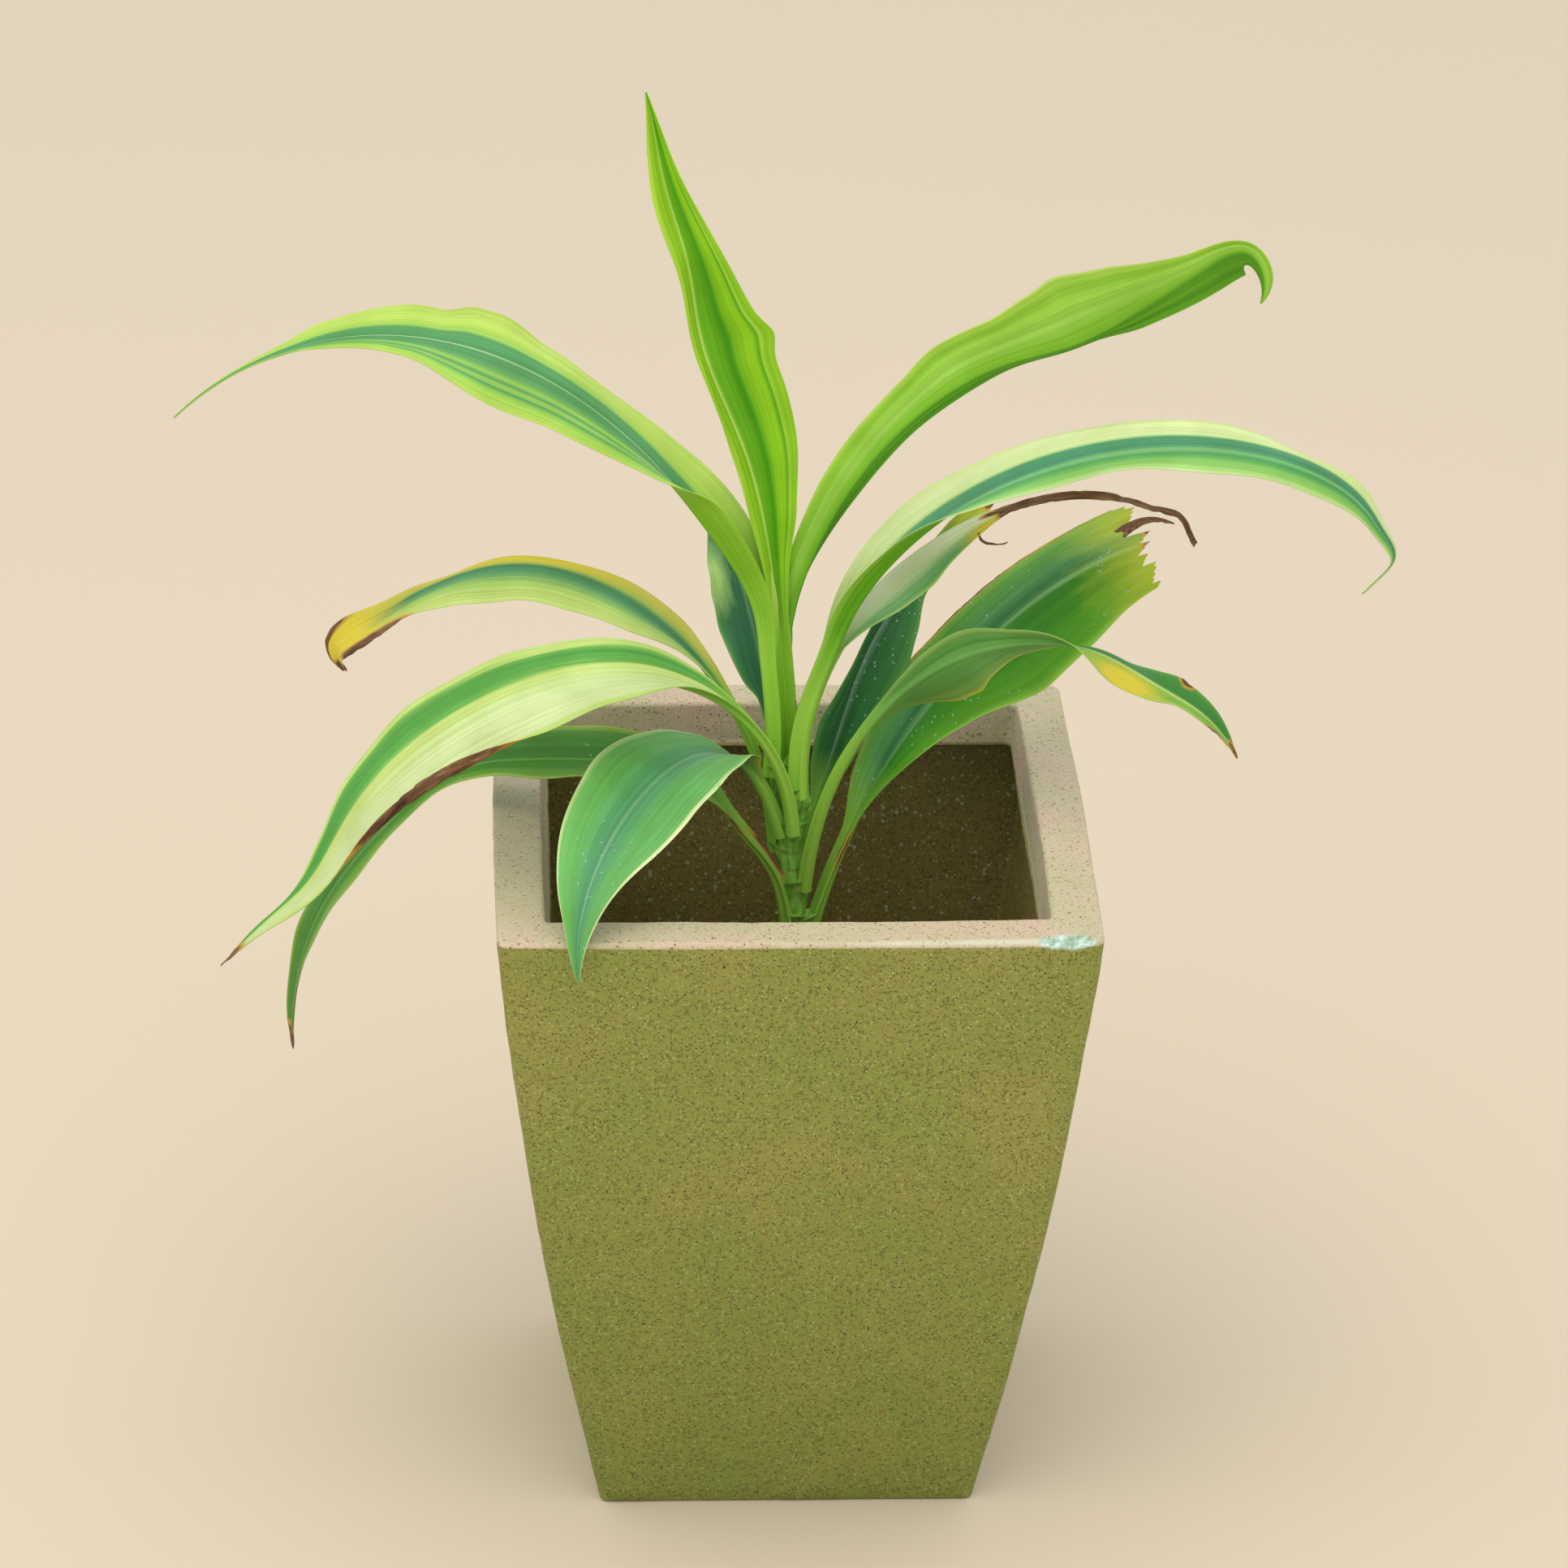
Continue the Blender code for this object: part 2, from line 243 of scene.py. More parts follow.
def with_poles(grid):
    """A grid's points or numbers in one list, followed by the means of its first and last rings."""
    return np.concatenate([grid.reshape(-1, *grid.shape[2:]), grid[:1].mean(1), grid[-1:].mean(1)])


def make_skin(name, grid, material, **fields):
    """An object from a closed skin's grid in millimetres. A field has a number for each row or point."""
    spread = {field: with_poles(values * np.ones((1, grid.shape[1]))) for field, values in fields.items()}
    return make_object(name, with_poles(grid) * MM, skin_faces(*grid.shape[:2]), material, **spread)


def skins_together(grids):
    """The points and faces of several closed skins of one kind, one after the other in the same lists."""
    points = [with_poles(grid) for grid in grids]
    faces = skin_faces(*grids[0].shape[:2])
    moved = [[corner + i * len(points[0]) for corner in face] for i in range(len(grids)) for face in faces]
    return np.concatenate(points), moved


def normals(grid, closed):
    """The unit normal at each point: the cross product of the steps along its row and to the next row."""
    onward = np.gradient(grid, axis=0)
    along = (np.roll(grid, -1, 1) - np.roll(grid, 1, 1)) / 2 if closed else np.gradient(grid, axis=1)
    normal = np.cross(along, onward)
    return normal / np.maximum(np.linalg.norm(normal, axis=-1, keepdims=True), 1e-12)


def unevenness(points, size, seed):
    """A smooth random field, mostly from -1 to 1: sine waves of about one size and random directions."""
    random = np.random.default_rng(seed)
    count = 16
    directions = random.normal(size=(count, points.shape[-1]))
    directions /= np.linalg.norm(directions, axis=1)[:, None]
    lengths = size * random.uniform(0.6, 1.6, count)
    turns = points @ (directions / lengths[:, None]).T * 2 * np.pi + random.uniform(0, 2 * np.pi, count)
    return np.sin(turns).sum(-1) / math.sqrt(count)


def rough(points, *parts):
    """Several smooth random fields added, each given as (height, size, seed)."""
    return sum(height * unevenness(points, size, seed) for height, size, seed in parts)


def ease(values, start, end):
    """0 up to start, 1 from end, and the smooth step t * t * (3 - 2 * t) between."""
    t = np.clip((values - start) / (end - start), 0, 1)
    return t * t * (3 - 2 * t)


def place_piece(obj, slot, *nodes):
    """The piece moves with the whole object and stands for these solids. Its slot is not used."""
    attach(obj, "root")
    if nodes:
        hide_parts(*nodes)
    print(obj.name, len(obj.data.polygons), "faces")


print("a 3 by 4 skin has", len(skin_faces(3, 4)), "faces, and a 3 by 4 shell", len(shell_faces(3, 4)))

# %% [markdown]
# ## The planter's surface
#
# The planter is a square cup, cast in one piece: it tapers and swells a little, turns over a thick rim,
# goes down a shallow collar and then down its hollow. It could be carved from boxes, but a profile
# carried round a rounded square gives the whole skin at once, and lets each row have its own corner
# radius and its own slight bow. Its long use shows as soft edges and one broken place on the front edge.

# %% The planter's profile
HEIGHT, TOP_HALF, FOOT_HALF, SWELL = 300.0, 127.0, 82.0, 4.5
RIM_WIDTH, COLLAR_DEPTH, COLLAR_SLANT = 21.2, 19.4, 2.5
STEP_OUT, STEP_DOWN = 1.2, 0.9
WALL, FLOOR_TOP, CAVITY_TOP = 10.0, 14.0, 277.0
RIM_EDGE, MOUTH_EDGE, FOOT_EDGE, FLOOR_EDGE = 2.2, 2.0, 1.5, 3.0
MIDDLE = 0.5


def outer_half(height):
    """Half the outer width: a straight taper plus a swell of 4 t (1 - t), with t from foot to rim."""
    t = height / HEIGHT
    return FOOT_HALF + (TOP_HALF - FOOT_HALF) * t + SWELL * 4 * t * (1 - t)


def cavity_half(height):
    """Half the hollow's width: a straight line, one wall inside the skin at both ends."""
    t = (height - FLOOR_TOP) / (CAVITY_TOP - FLOOR_TOP)
    return (1 - t) * (outer_half(FLOOR_TOP) - WALL) + t * (outer_half(CAVITY_TOP) - WALL)


def arc(centre, radius, start, end, count):
    """Points (half, height) on part of a circle, from one angle to another."""
    angles = np.radians(np.linspace(start, end, count))
    return np.stack([centre[0] + radius * np.cos(angles), centre[1] + radius * np.sin(angles)], -1)


def line(start, end, count):
    """Evenly spaced points (half, height) on a straight line, without its ends."""
    return np.linspace(start, end, count + 2)[1:-1]


def wall_rows(function, heights):
    """Points (half, height) whose half width is a function of the height."""
    return np.stack([function(heights), heights], -1)


mouth = TOP_HALF - RIM_WIDTH
collar_foot = (mouth - COLLAR_SLANT, HEIGHT - COLLAR_DEPTH)
step_foot = (collar_foot[0] + STEP_OUT, collar_foot[1] - STEP_DOWN)
shoulder = HEIGHT - RIM_EDGE
side_heights = np.concatenate([np.linspace(FOOT_EDGE, 268, 44), np.linspace(270, shoulder - 0.5, 22)])
hollow_heights = np.linspace(CAVITY_TOP, FLOOR_TOP + FLOOR_EDGE, 26)
floor_half = cavity_half(FLOOR_TOP) - FLOOR_EDGE
profile = {
    "underside": line((MIDDLE, 0), (FOOT_HALF - FOOT_EDGE, 0), 6),
    "foot edge": arc((FOOT_HALF - FOOT_EDGE, FOOT_EDGE), FOOT_EDGE, -90, -15, 4),
    "sides": wall_rows(outer_half, side_heights),
    "outer edge": arc((outer_half(shoulder) - RIM_EDGE, shoulder), RIM_EDGE, 0, 90, 6),
    "rim": line((TOP_HALF - RIM_EDGE, HEIGHT), (mouth + MOUTH_EDGE, HEIGHT), 11),
    "inner edge": arc((mouth + MOUTH_EDGE, HEIGHT - MOUTH_EDGE), MOUTH_EDGE, 90, 180, 6),
    "collar": line((mouth, HEIGHT - MOUTH_EDGE), collar_foot, 9),
    "step": np.array([collar_foot, step_foot]),
    "hollow": wall_rows(cavity_half, hollow_heights),
    "floor edge": arc((floor_half, FLOOR_TOP + FLOOR_EDGE), FLOOR_EDGE, 0, -90, 4),
    "floor": line((floor_half, FLOOR_TOP), (MIDDLE, FLOOR_TOP), 6),
}
halves, levels = np.concatenate(list(profile.values())).T
print("planter profile:", len(halves), "rows in", len(profile), "stretches")

# %% [markdown]
# A rounded square is one quarter turned four times. Along a side the half width grows by the bow,
# which is widest mid-side, and a quarter circle closes the corner. The skin then wavers by a few tenths
# of a millimetre, as a cast one does, and small bites are missing from the rubbed edge of the rim.

# %% The planter's skin
SIDE_POINTS, CORNER_POINTS, CORNER_RADIUS = 119, 6, 5.0
RIM_BOW, BOW_FROM = 1.1, 150.0
EDGE_REACH, BITE_DEPTH = 4.0, 0.9
BITES = ((1.0, 6, 5, 0.9), (0.5, 2.6, 6, 0.8))


def square_path(half, radius, bow):
    """Points round a rounded square: x = half + bow (1 - q q) along a side, then an arc, four times."""
    half, radius, bow = half[:, None], radius[:, None], bow[:, None]
    q = np.linspace(-1, 1, SIDE_POINTS)
    turn = np.radians(np.linspace(0, 90, CORNER_POINTS + 2)[1:-1])
    x = np.hstack([half + bow * (1 - q * q), half - radius + radius * np.cos(turn)])
    y = np.hstack([(half - radius) * q, half - radius + radius * np.sin(turn)])
    return np.concatenate([np.stack(pair, -1) for pair in ((x, y), (-y, x), (-x, -y), (y, -x))], axis=1)


def raised(rings, heights):
    """Rings of (x, y) points, each lifted to its own height."""
    return np.concatenate([rings, np.broadcast_to(heights[:, None, None], rings.shape[:2] + (1,))], -1)


def stretch(*names):
    """1 on the rows of these stretches of the profile and 0 on the rest."""
    return np.repeat([float(name in names) for name in profile], [len(rows) for rows in profile.values()])


outside = stretch("sides", "outer edge")
rim = stretch("outer edge", "rim", "inner edge", "collar")
inside = stretch("step", "hollow", "floor edge", "floor")
wavering = 1 - stretch("underside", "foot edge", "floor edge", "floor")[:, None]
radii = np.minimum(CORNER_RADIUS, halves * 0.5) * (1 - 0.4 * (1 - outside))
bows = RIM_BOW * ease(levels, BOW_FROM, HEIGHT) * (1 - inside)
planter_grid = raised(square_path(halves, radii, bows), levels)
outward = normals(planter_grid, True)

edge_distance = np.hypot(halves - TOP_HALF, levels - HEIGHT)[:, None]
worn = np.exp(-((edge_distance / EDGE_REACH) ** 2))
wobble = rough(planter_grid, (0.30, 95, 3), (0.10, 14, 4))
bites = sum(height * np.clip(unevenness(planter_grid, size, seed) - above, 0, 1)
            for height, size, seed, above in BITES)
planter_grid += outward * (wavering * wobble - worn * bites * BITE_DEPTH)[..., None]
print("planter grid:", planter_grid.shape, "deepest bite", round(float((worn * bites).max()), 2), "mm")

# %% [markdown]
# The broken place is a shell-shaped flake off the front edge near the right corner. Each point inside it
# is pushed back to a slanting plane, whose reach shrinks to nothing at the flake's two ends, and a little
# roughness keeps the plane from looking sawn. A field of its own marks where the front edge is rubbed
# pale, from the middle to the right corner.

# %% The broken place and the rubbed edge
FLAKE_X, FLAKE_LEFT, FLAKE_RIGHT, FLAKE_DEEP, FLAKE_DOWN = 114.0, 17.0, 10.0, 6.0, 4.2
FLAKE_ROUGH, FLAKE_GRAIN, MILKY_AT = 0.35, 3.5, 0.6
FRONT_OF, ABOVE = -110.0, 280.0
RUB_REACH, RUB_FROM, RUB_TO = 1.8, -20.0, 40.0

x, y, z = np.moveaxis(planter_grid, -1, 0)
back = y + TOP_HALF
down = HEIGHT - z
flake_reach = np.where(x < FLAKE_X, FLAKE_LEFT, FLAKE_RIGHT)
swing = np.clip(1 - ((x - FLAKE_X) / flake_reach) ** 2, 0, 1) ** 0.8
deep = np.maximum(FLAKE_DEEP * swing, 0.01)
drop = np.maximum(FLAKE_DOWN * swing, 0.01)
slope = np.hypot(1 / deep, 1 / drop)
inside_flake = (1 - np.maximum(back, 0) / deep - down / drop) / slope
near_front = (y < FRONT_OF) & (z > ABOVE)
push = np.where(near_front, np.clip(inside_flake, 0, 4), 0)
push *= 1 + FLAKE_ROUGH * unevenness(planter_grid, FLAKE_GRAIN, 8)
planter_grid[..., 1] += push / deep / slope
planter_grid[..., 2] -= push / drop / slope
flake = np.clip(push / MILKY_AT, 0, 1)
wear = np.exp(-((edge_distance / RUB_REACH) ** 2)) * (y < FRONT_OF) * ease(x, RUB_FROM, RUB_TO)
print("flake: up to", round(float(push.max()), 2), "mm deep")

# %% [markdown]
# ## Cast terrazzo
#
# The planter is cast from cement or resin full of fine stone chips, then rubbed down. Its sides weathered
# to a mottled olive that is a little darker towards the foot, the rubbed rim stayed the colour of
# sand, and the hollow is browner, with larger pale chips. The broken place shows the milky inside of the
# cast, with a painted highlight for its glints. Real chips are 0.5 to 1 mm across, and up to 2 mm in the
# hollow. The fine ones are drawn 0.8 to 1 mm wide, so that they show. Each kind of chip is one layer of
# cells, of which a share is coloured.

# %% The terrazzo material
CHIP = 0.42
TONES = {"sides": ("#8a9440", "#8f9442", "#979648"), "rim": ("#c4b894", "#ccc09e", "#d8bca6"),
         "hollow": ("#837439", "#8c7c3f", "#968249")}


def chips(tree, place, size, share, shift):
    """A mask of round chips of CHIP cells' radius, in this share of the cells of a size in metres."""
    moved = add(tree, "Mapping", {"Vector": place, "Location": (shift, shift * 0.7, shift * 1.3)})
    cells = add(tree, "TexVoronoi", {"Vector": moved, "Scale": 1 / size})
    lucky = add(tree, "SeparateColor", {0: cells.outputs["Color"]})
    chosen = add(tree, "Math", {0: lucky, 1: share}, operation="LESS_THAN")
    close = add(tree, "Math", {0: cells.outputs["Distance"], 1: CHIP}, operation="LESS_THAN")
    return add(tree, "Math", {0: chosen, 1: close}, operation="MULTIPLY")


def cast_terrazzo():
    """Speckled stone: three mottled grounds, grains, five kinds of chip, darkening towards the foot, rubbed
    edge, and flake with a painted highlight.
    """
    material, tree, shader = start_material("cast terrazzo")
    place = add(tree, "TexCoord").outputs["Object"]
    rim_zone, hollow_zone, flake_zone, wear_zone = [
        add(tree, "Attribute", attribute_name=name).outputs["Fac"]
        for name in ("rim", "hollow", "flake", "wear")]
    broad, grain, bruise = [
        add(tree, "TexNoise", {"Vector": place, "Scale": 1 / size, "Detail": detail, "Roughness": rough})
        for size, detail, rough in ((0.045, 3.0, 0.55), (0.0015, 2.0, 0.7), (0.003, 3.0, 0.6))]
    sides, top, hollow = [
        add(tree, "ValToRGB", {0: broad}, stops=tuple(zip((0.3, 0.5, 0.7), tones)))
        for tones in TONES.values()]
    speckle = add(tree, "ValToRGB", {0: grain}, stops=((0.36, "#b8b8a4"), (0.47, "#ffffff")))
    coarse = add(tree, "MapRange", {0: rim_zone, 3: 0.8, 4: 0.3})
    dark, darkest = [
        layered(tree, linear(on_sides), [(rim_zone, on_rim)])
        for on_sides, on_rim in (("#5f5c2a", "#b5a784"), ("#3d3820", "#95826a"))]
    large = chips(tree, place, 0.0021, 0.06, 23)
    in_hollow = add(tree, "Math", {0: large, 1: hollow_zone}, operation="MULTIPLY")
    # Darker towards the foot: the colour is multiplied by a ramp on the height, pale grey-green at the foot
    # and white from 0.7 of the way up.
    height = add(tree, "SeparateXYZ", {0: place}).outputs[2]
    up = add(tree, "MapRange", {0: height, 2: HEIGHT * MM})
    darker_towards_foot = add(tree, "ValToRGB", {0: up}, stops=((0.0, "#dfe6d2"), (0.7, "#ffffff")))
    patchy = add(tree, "MapRange", {0: broad, 1: 0.40, 2: 0.60, 3: 0.15, 4: 0.8})
    rubbed = add(tree, "Math", {0: wear_zone, 1: patchy}, operation="MULTIPLY")
    # The flake's colour: the milky grey-green inside of the cast, with its palest, near-white stop a
    # painted highlight for the glints on the broken stone.
    flake_colour_and_glints = add(tree, "ValToRGB", {0: bruise},
                 stops=((0.36, "#93a88a"), (0.48, "#aecdb8"), (0.56, "#bcd8c8"), (0.64, "#dff0ea")))
    colour = layered(tree, sides, [
        (rim_zone, top),
        (hollow_zone, hollow),
        (coarse, speckle, "MULTIPLY"),
        (chips(tree, place, 0.0012, 0.13, 3), "#a9b06c"),
        (chips(tree, place, 0.0012, 0.07, 11), "#8e6838"),
        (chips(tree, place, 0.0011, 0.14, 7), dark),
        (chips(tree, place, 0.0010, 0.03, 19), darkest),
        (in_hollow, "#aeb094"),
        (1.0, darker_towards_foot, "MULTIPLY"),
        (rubbed, "#dfe3cc"),
        (flake_zone, flake_colour_and_glints),
    ])
    pits = add(tree, "Bump", {"Height": grain, "Strength": 0.5, "Distance": 0.0006})
    gloss = add(tree, "MapRange", {0: grain, 3: 0.5, 4: 0.75})
    fill(tree, shader, {"Base Color": colour, "Roughness": gloss, "Normal": pits, "IOR": 1.5})
    return material


terrazzo = cast_terrazzo()
print("terrazzo:", len(terrazzo.node_tree.nodes), "nodes")

# %% [markdown]
# Water leaves through four holes in the floor. They are drilled after the skin is made, with four plain
# rods that are thrown away once the cut is applied.

# %% The planter
DRAIN_RADIUS, DRAIN_OFFSET = 6.0, 40.0
ROD_PAST, ROD_POINTS = 9.0, 32


def rod(x, y):
    """A closed round rod through the floor: the same circle at two heights."""
    turn = np.linspace(0, 2 * np.pi, ROD_POINTS, endpoint=False)
    circle = np.stack([x + DRAIN_RADIUS * np.cos(turn), y + DRAIN_RADIUS * np.sin(turn)], -1)
    return raised(np.stack([circle, circle]), np.array([-ROD_PAST, FLOOR_TOP + ROD_PAST]))


planter = make_skin("planter_shell", planter_grid, terrazzo,
                    rim=rim[:, None], hollow=inside[:, None], flake=flake, wear=wear)
offsets = (-DRAIN_OFFSET, DRAIN_OFFSET)
rod_points, rod_faces = skins_together([rod(x, y) for x in offsets for y in offsets])
cutter = make_object("drain_rods", rod_points * MM, rod_faces, terrazzo)
drill = planter.modifiers.new("drain", "BOOLEAN")
drill.object = cutter
drill.solver = "EXACT"
drilled = bpy.data.meshes.new_from_object(planter.evaluated_get(bpy.context.evaluated_depsgraph_get()))
planter.modifiers.clear()
planter.data = drilled
bpy.data.objects.remove(cutter)
place_piece(planter, "cast_terrazzo", "planter")

# %% [markdown]
# ## Potting mix
#
# The photograph doesn't show the mix, so it is a guess: dark, crumbly and a little higher in the middle.
# A lumpy sheet on the planter's own rounded square gives the bed, and some hundreds of loose crumbs, each
# a small uneven ball of a few dozen faces, break up its surface.

# %% The soil
SOIL_TOP, SOIL_RISE, SOIL_GAP = 183.0, 4.0, 0.3
UNDER_ROWS, SIDE_ROWS, TOP_ROWS, FIRST_STEP = 3, 8, 46, 0.8
LUMP_LOW, LUMP_HIGH, FLAT_EDGE = -2.5, 3.0, 0.04
CRUMB_SMALL, CRUMB_LARGE, CRUMB_SPREAD = 0.8, 2.6, 0.93
CRUMB_ROWS, CRUMB_POINTS, CRUMB_ROUGH, CRUMB_GRAIN, CRUMB_ABOVE = 5, 7, 0.3, 2.5, 0.3

bed_half = cavity_half(SOIL_TOP) - SOIL_GAP
bed_foot = cavity_half(FLOOR_TOP) - SOIL_GAP
bed = np.concatenate([
    line((MIDDLE, FLOOR_TOP + SOIL_GAP), (bed_foot, FLOOR_TOP + SOIL_GAP), UNDER_ROWS),
    np.linspace((bed_foot, FLOOR_TOP + SOIL_GAP), (bed_half, SOIL_TOP), SIDE_ROWS),
    np.linspace((bed_half - FIRST_STEP, SOIL_TOP), (MIDDLE, SOIL_TOP), TOP_ROWS),
])
bed_ring = square_path(bed[:, 0], np.minimum(CORNER_RADIUS, bed[:, 0] * 0.4), np.zeros(len(bed)))[:, ::2]
bed_grid = raised(bed_ring, bed[:, 1])
on_top = (np.arange(len(bed)) > UNDER_ROWS + SIDE_ROWS)[:, None]
inward = 1 - np.abs(bed_ring).max(-1) / bed_half
lumps = np.clip(rough(bed_ring, (1.6, 13, 21), (1.1, 5, 22), (0.5, 2.6, 23)), LUMP_LOW, LUMP_HIGH)
bed_grid[..., 2] += on_top * (SOIL_RISE * inward + lumps * ease(inward, 0, FLAT_EDGE))


def potting_mix():
    """Dark peat with lighter fibres: clods of some 6 mm broken up into fine grains, dull all over."""
    material, tree, shader = start_material("potting mix")
    place = add(tree, "TexCoord").outputs["Object"]
    clods = add(tree, "TexNoise", {"Vector": place, "Scale": 1 / 0.006, "Detail": 6.0, "Roughness": 0.7})
    colour = add(tree, "ValToRGB", {0: clods},
                 stops=((0.30, "#1d130c"), (0.50, "#3a281a"), (0.62, "#55402b"), (0.75, "#7a6246")))
    bumps = add(tree, "Bump", {"Height": clods, "Strength": 0.8, "Distance": 0.0015})
    fill(tree, shader, {"Base Color": colour, "Roughness": 0.95, "Normal": bumps})
    return material


def scattered(count, seed):
    """Centres and sizes of loose crumbs on the bed, kept off its edge."""
    random = np.random.default_rng(seed)
    places = random.uniform(-CRUMB_SPREAD, CRUMB_SPREAD, (count, 2)) * bed_half
    sizes = random.uniform(CRUMB_SMALL, CRUMB_LARGE, count)
    heights = SOIL_TOP + SOIL_RISE * (1 - np.abs(places).max(1) / bed_half) + CRUMB_ABOVE * sizes
    return np.column_stack([places, heights]), sizes


def crumbs(count, seed):
    """Uneven balls: a grid of latitude and longitude at each place, its radius changed by noise."""
    centres, sizes = scattered(count, seed)
    tilt = np.radians(np.linspace(-70, 70, CRUMB_ROWS))[:, None]
    turn = np.linspace(0, 2 * np.pi, CRUMB_POINTS, endpoint=False)[None, :]
    ball = np.stack([np.cos(tilt) * np.cos(turn), np.cos(tilt) * np.sin(turn), np.sin(tilt) + 0 * turn], -1)
    balls = centres[:, None, None] + ball * sizes[:, None, None, None]
    uneven = CRUMB_ROUGH * sizes[:, None, None] * unevenness(balls, CRUMB_GRAIN, seed)
    balls += ball * uneven[..., None]
    return skins_together(balls)


mix = potting_mix()
place_piece(make_skin("soil_bed", bed_grid, mix), "potting_mix", "soil")
crumb_points, crumb_faces = crumbs(420, 31)
place_piece(make_object("soil_crumbs", crumb_points * MM, crumb_faces, mix), "potting_mix")

# %% [markdown]
# ## The stem
#
# The young stem is a slightly crooked green rod, ringed by the scars of leaves that have dropped. It is
# a circle carried up a leaning line, and its radius swells just under each scar and drops in above it.

# %% The stem
STEM_LOW, STEM_HIGH, STEM_START = 140.0, 321.0, 187.0
STEM_X, STEM_TOP_X, STEM_FOOT_RADIUS, STEM_TOP_RADIUS = 5.0, -1.5, 6.2, 4.2
STEM_ROWS, STEM_POINTS = 220, 48
SCAR_SPACING, SCAR_SWELL, SCAR_DROP, DROP_FADE, BROWN_FADE = 8.5, 0.35, 0.3, 0.12, 0.08
SCAR_TILT, TILT_LENGTH = 0.8, 20

level = np.linspace(STEM_LOW, STEM_HIGH, STEM_ROWS)
climb = np.clip((level - STEM_START) / (STEM_HIGH - STEM_START), 0, 1)
lean = STEM_X + (STEM_TOP_X - STEM_X) * climb**1.5
since_scar = (level / SCAR_SPACING) % 1
ridge = SCAR_SWELL * since_scar**4 - SCAR_DROP * np.exp(-since_scar / DROP_FADE)
stem_radius = STEM_FOOT_RADIUS + (STEM_TOP_RADIUS - STEM_FOOT_RADIUS) * climb + ridge
turn = np.linspace(0, 2 * np.pi, STEM_POINTS, endpoint=False)
stem_grid = np.stack([
    lean[:, None] + stem_radius[:, None] * np.cos(turn),
    stem_radius[:, None] * np.sin(turn),
    level[:, None] + SCAR_TILT * np.sin(2 * turn + level[:, None] / TILT_LENGTH),
], -1)


def stem_skin(name, *greens):
    """Green bark: a noise drawn out upwards for its fibres, and brown as far as the scar field says."""
    material, tree, shader = start_material(name)
    place = add(tree, "TexCoord").outputs["Object"]
    drawn = add(tree, "Mapping", {"Vector": place, "Scale": (1.0, 1.0, 0.15)})
    fibres = add(tree, "TexNoise", {"Vector": drawn, "Scale": 1 / 0.002, "Detail": 3.0})
    bark = add(tree, "ValToRGB", {0: fibres}, stops=tuple(zip((0.35, 0.5, 0.65), greens)))
    scar = add(tree, "Attribute", attribute_name="scar").outputs["Fac"]
    colour = layered(tree, bark, [(scar, "#6b5230")])
    fill(tree, shader, {"Base Color": colour, "Roughness": 0.5, "IOR": 1.45})
    return material


bark_skin = stem_skin("green stem bark", "#5c8a2c", "#79a53c", "#96b752")
stem = make_skin("stem_bark", stem_grid, bark_skin, scar=np.exp(-since_scar / BROWN_FADE)[:, None])
place_piece(stem, "stem_skin", "stem")

# %% [markdown]
# ## The form of a leaf
#
# A dracaena leaf is one long strap: a channelled stalk clasps the stem, widens to a blade and runs out
# to a point. It could be a flat outline bent with modifiers, but a leaf that arches, rolls and folds at
# once is easier to say as a function of two numbers: the share of the way from foot to tip, and the
# place across, from -1 at the left margin to 1 at the right one.

# %% What describes a leaf
@dataclass
class Leaf:
    """A leaf's form, in millimetres and degrees, by its share of the way from foot to tip.

    The leaf heads away from its (x, y) foot, anticlockwise from the right. arch holds the (reach, height)
    handles of the midrib, bends are (share, reach, rise, length) shifts of it, and bow moves its middle to
    the left. left and right are the half widths, roll and fold the turns about the midrib, all as
    (share, value) pairs. The stalk ends at blade_from, and from dry_from on all is dry. torn_at and ragged
    place a torn end and give its teeth their length. ruffle is the height of the margins' ripples. waves
    are single ones, (share, side, height, length), curls are (share, side, reach, turn, length) rolled
    margins, and yellow and dry are (share, across, long, wide, amount) patches.
    """

    heading: float
    foot: tuple
    arch: tuple
    left: tuple
    right: tuple
    roll: tuple
    fold: tuple
    blade_from: float = 0.2
    bow: float = 0.0
    bends: tuple = ()
    torn_at: float = 1.0
    ragged: float = 0.0
    dry_from: float = 2.0
    ruffle: float = 0.8
    waves: tuple = ()
    curls: tuple = ()
    yellow: tuple = ()
    dry: tuple = ()


ALONG, COLUMNS, TORN_COLUMNS = 170, 41, 97
CREASE = 0.03
TIP = 0.35


def blend(handles, share):
    """A smooth curve: each handle weighted by comb(n, i) * s ** i * (1 - s) ** (n - i), and added."""
    handles = np.asarray(handles, float)
    last = len(handles) - 1
    weights = [math.comb(last, i) * share**i * (1 - share) ** (last - i) for i in range(last + 1)]
    return np.stack(weights, -1) @ handles


def through(pairs, share):
    """A smooth line through (share, value) pairs that never passes beyond them.

    The slope at a pair is the harmonic mean of those on its two sides, or 0 at a peak, and a cubic with the
    right values and slopes at both ends joins each two pairs.
    """
    at, value = np.array(pairs, float).T
    steep = np.diff(value) / np.diff(at)
    before, after = steep[:-1], steep[1:]
    climbing = before * after > 0
    slope = np.concatenate([steep[:1], np.zeros(len(at) - 2), steep[-1:]])
    slope[1:-1][climbing] = 2 * (before * after)[climbing] / (before + after)[climbing]
    i = np.clip(np.searchsorted(at, share, side="right") - 1, 0, len(at) - 2)
    gap = at[i + 1] - at[i]
    t = np.clip((share - at[i]) / gap, 0, 1)
    ends = value[i] * (1 + 2 * t) * (1 - t) ** 2 + value[i + 1] * t * t * (3 - 2 * t)
    return ends + gap * t * (1 - t) * (slope[i] * (1 - t) - slope[i + 1] * t)


def local(share, at, length):
    """A soft bump of height 1 at one share, exp(-((s - at) / length) ** 2), which leaves the foot alone."""
    return np.exp(-(((share - at) / length) ** 2)) * ease(share, 0.05, 0.2)


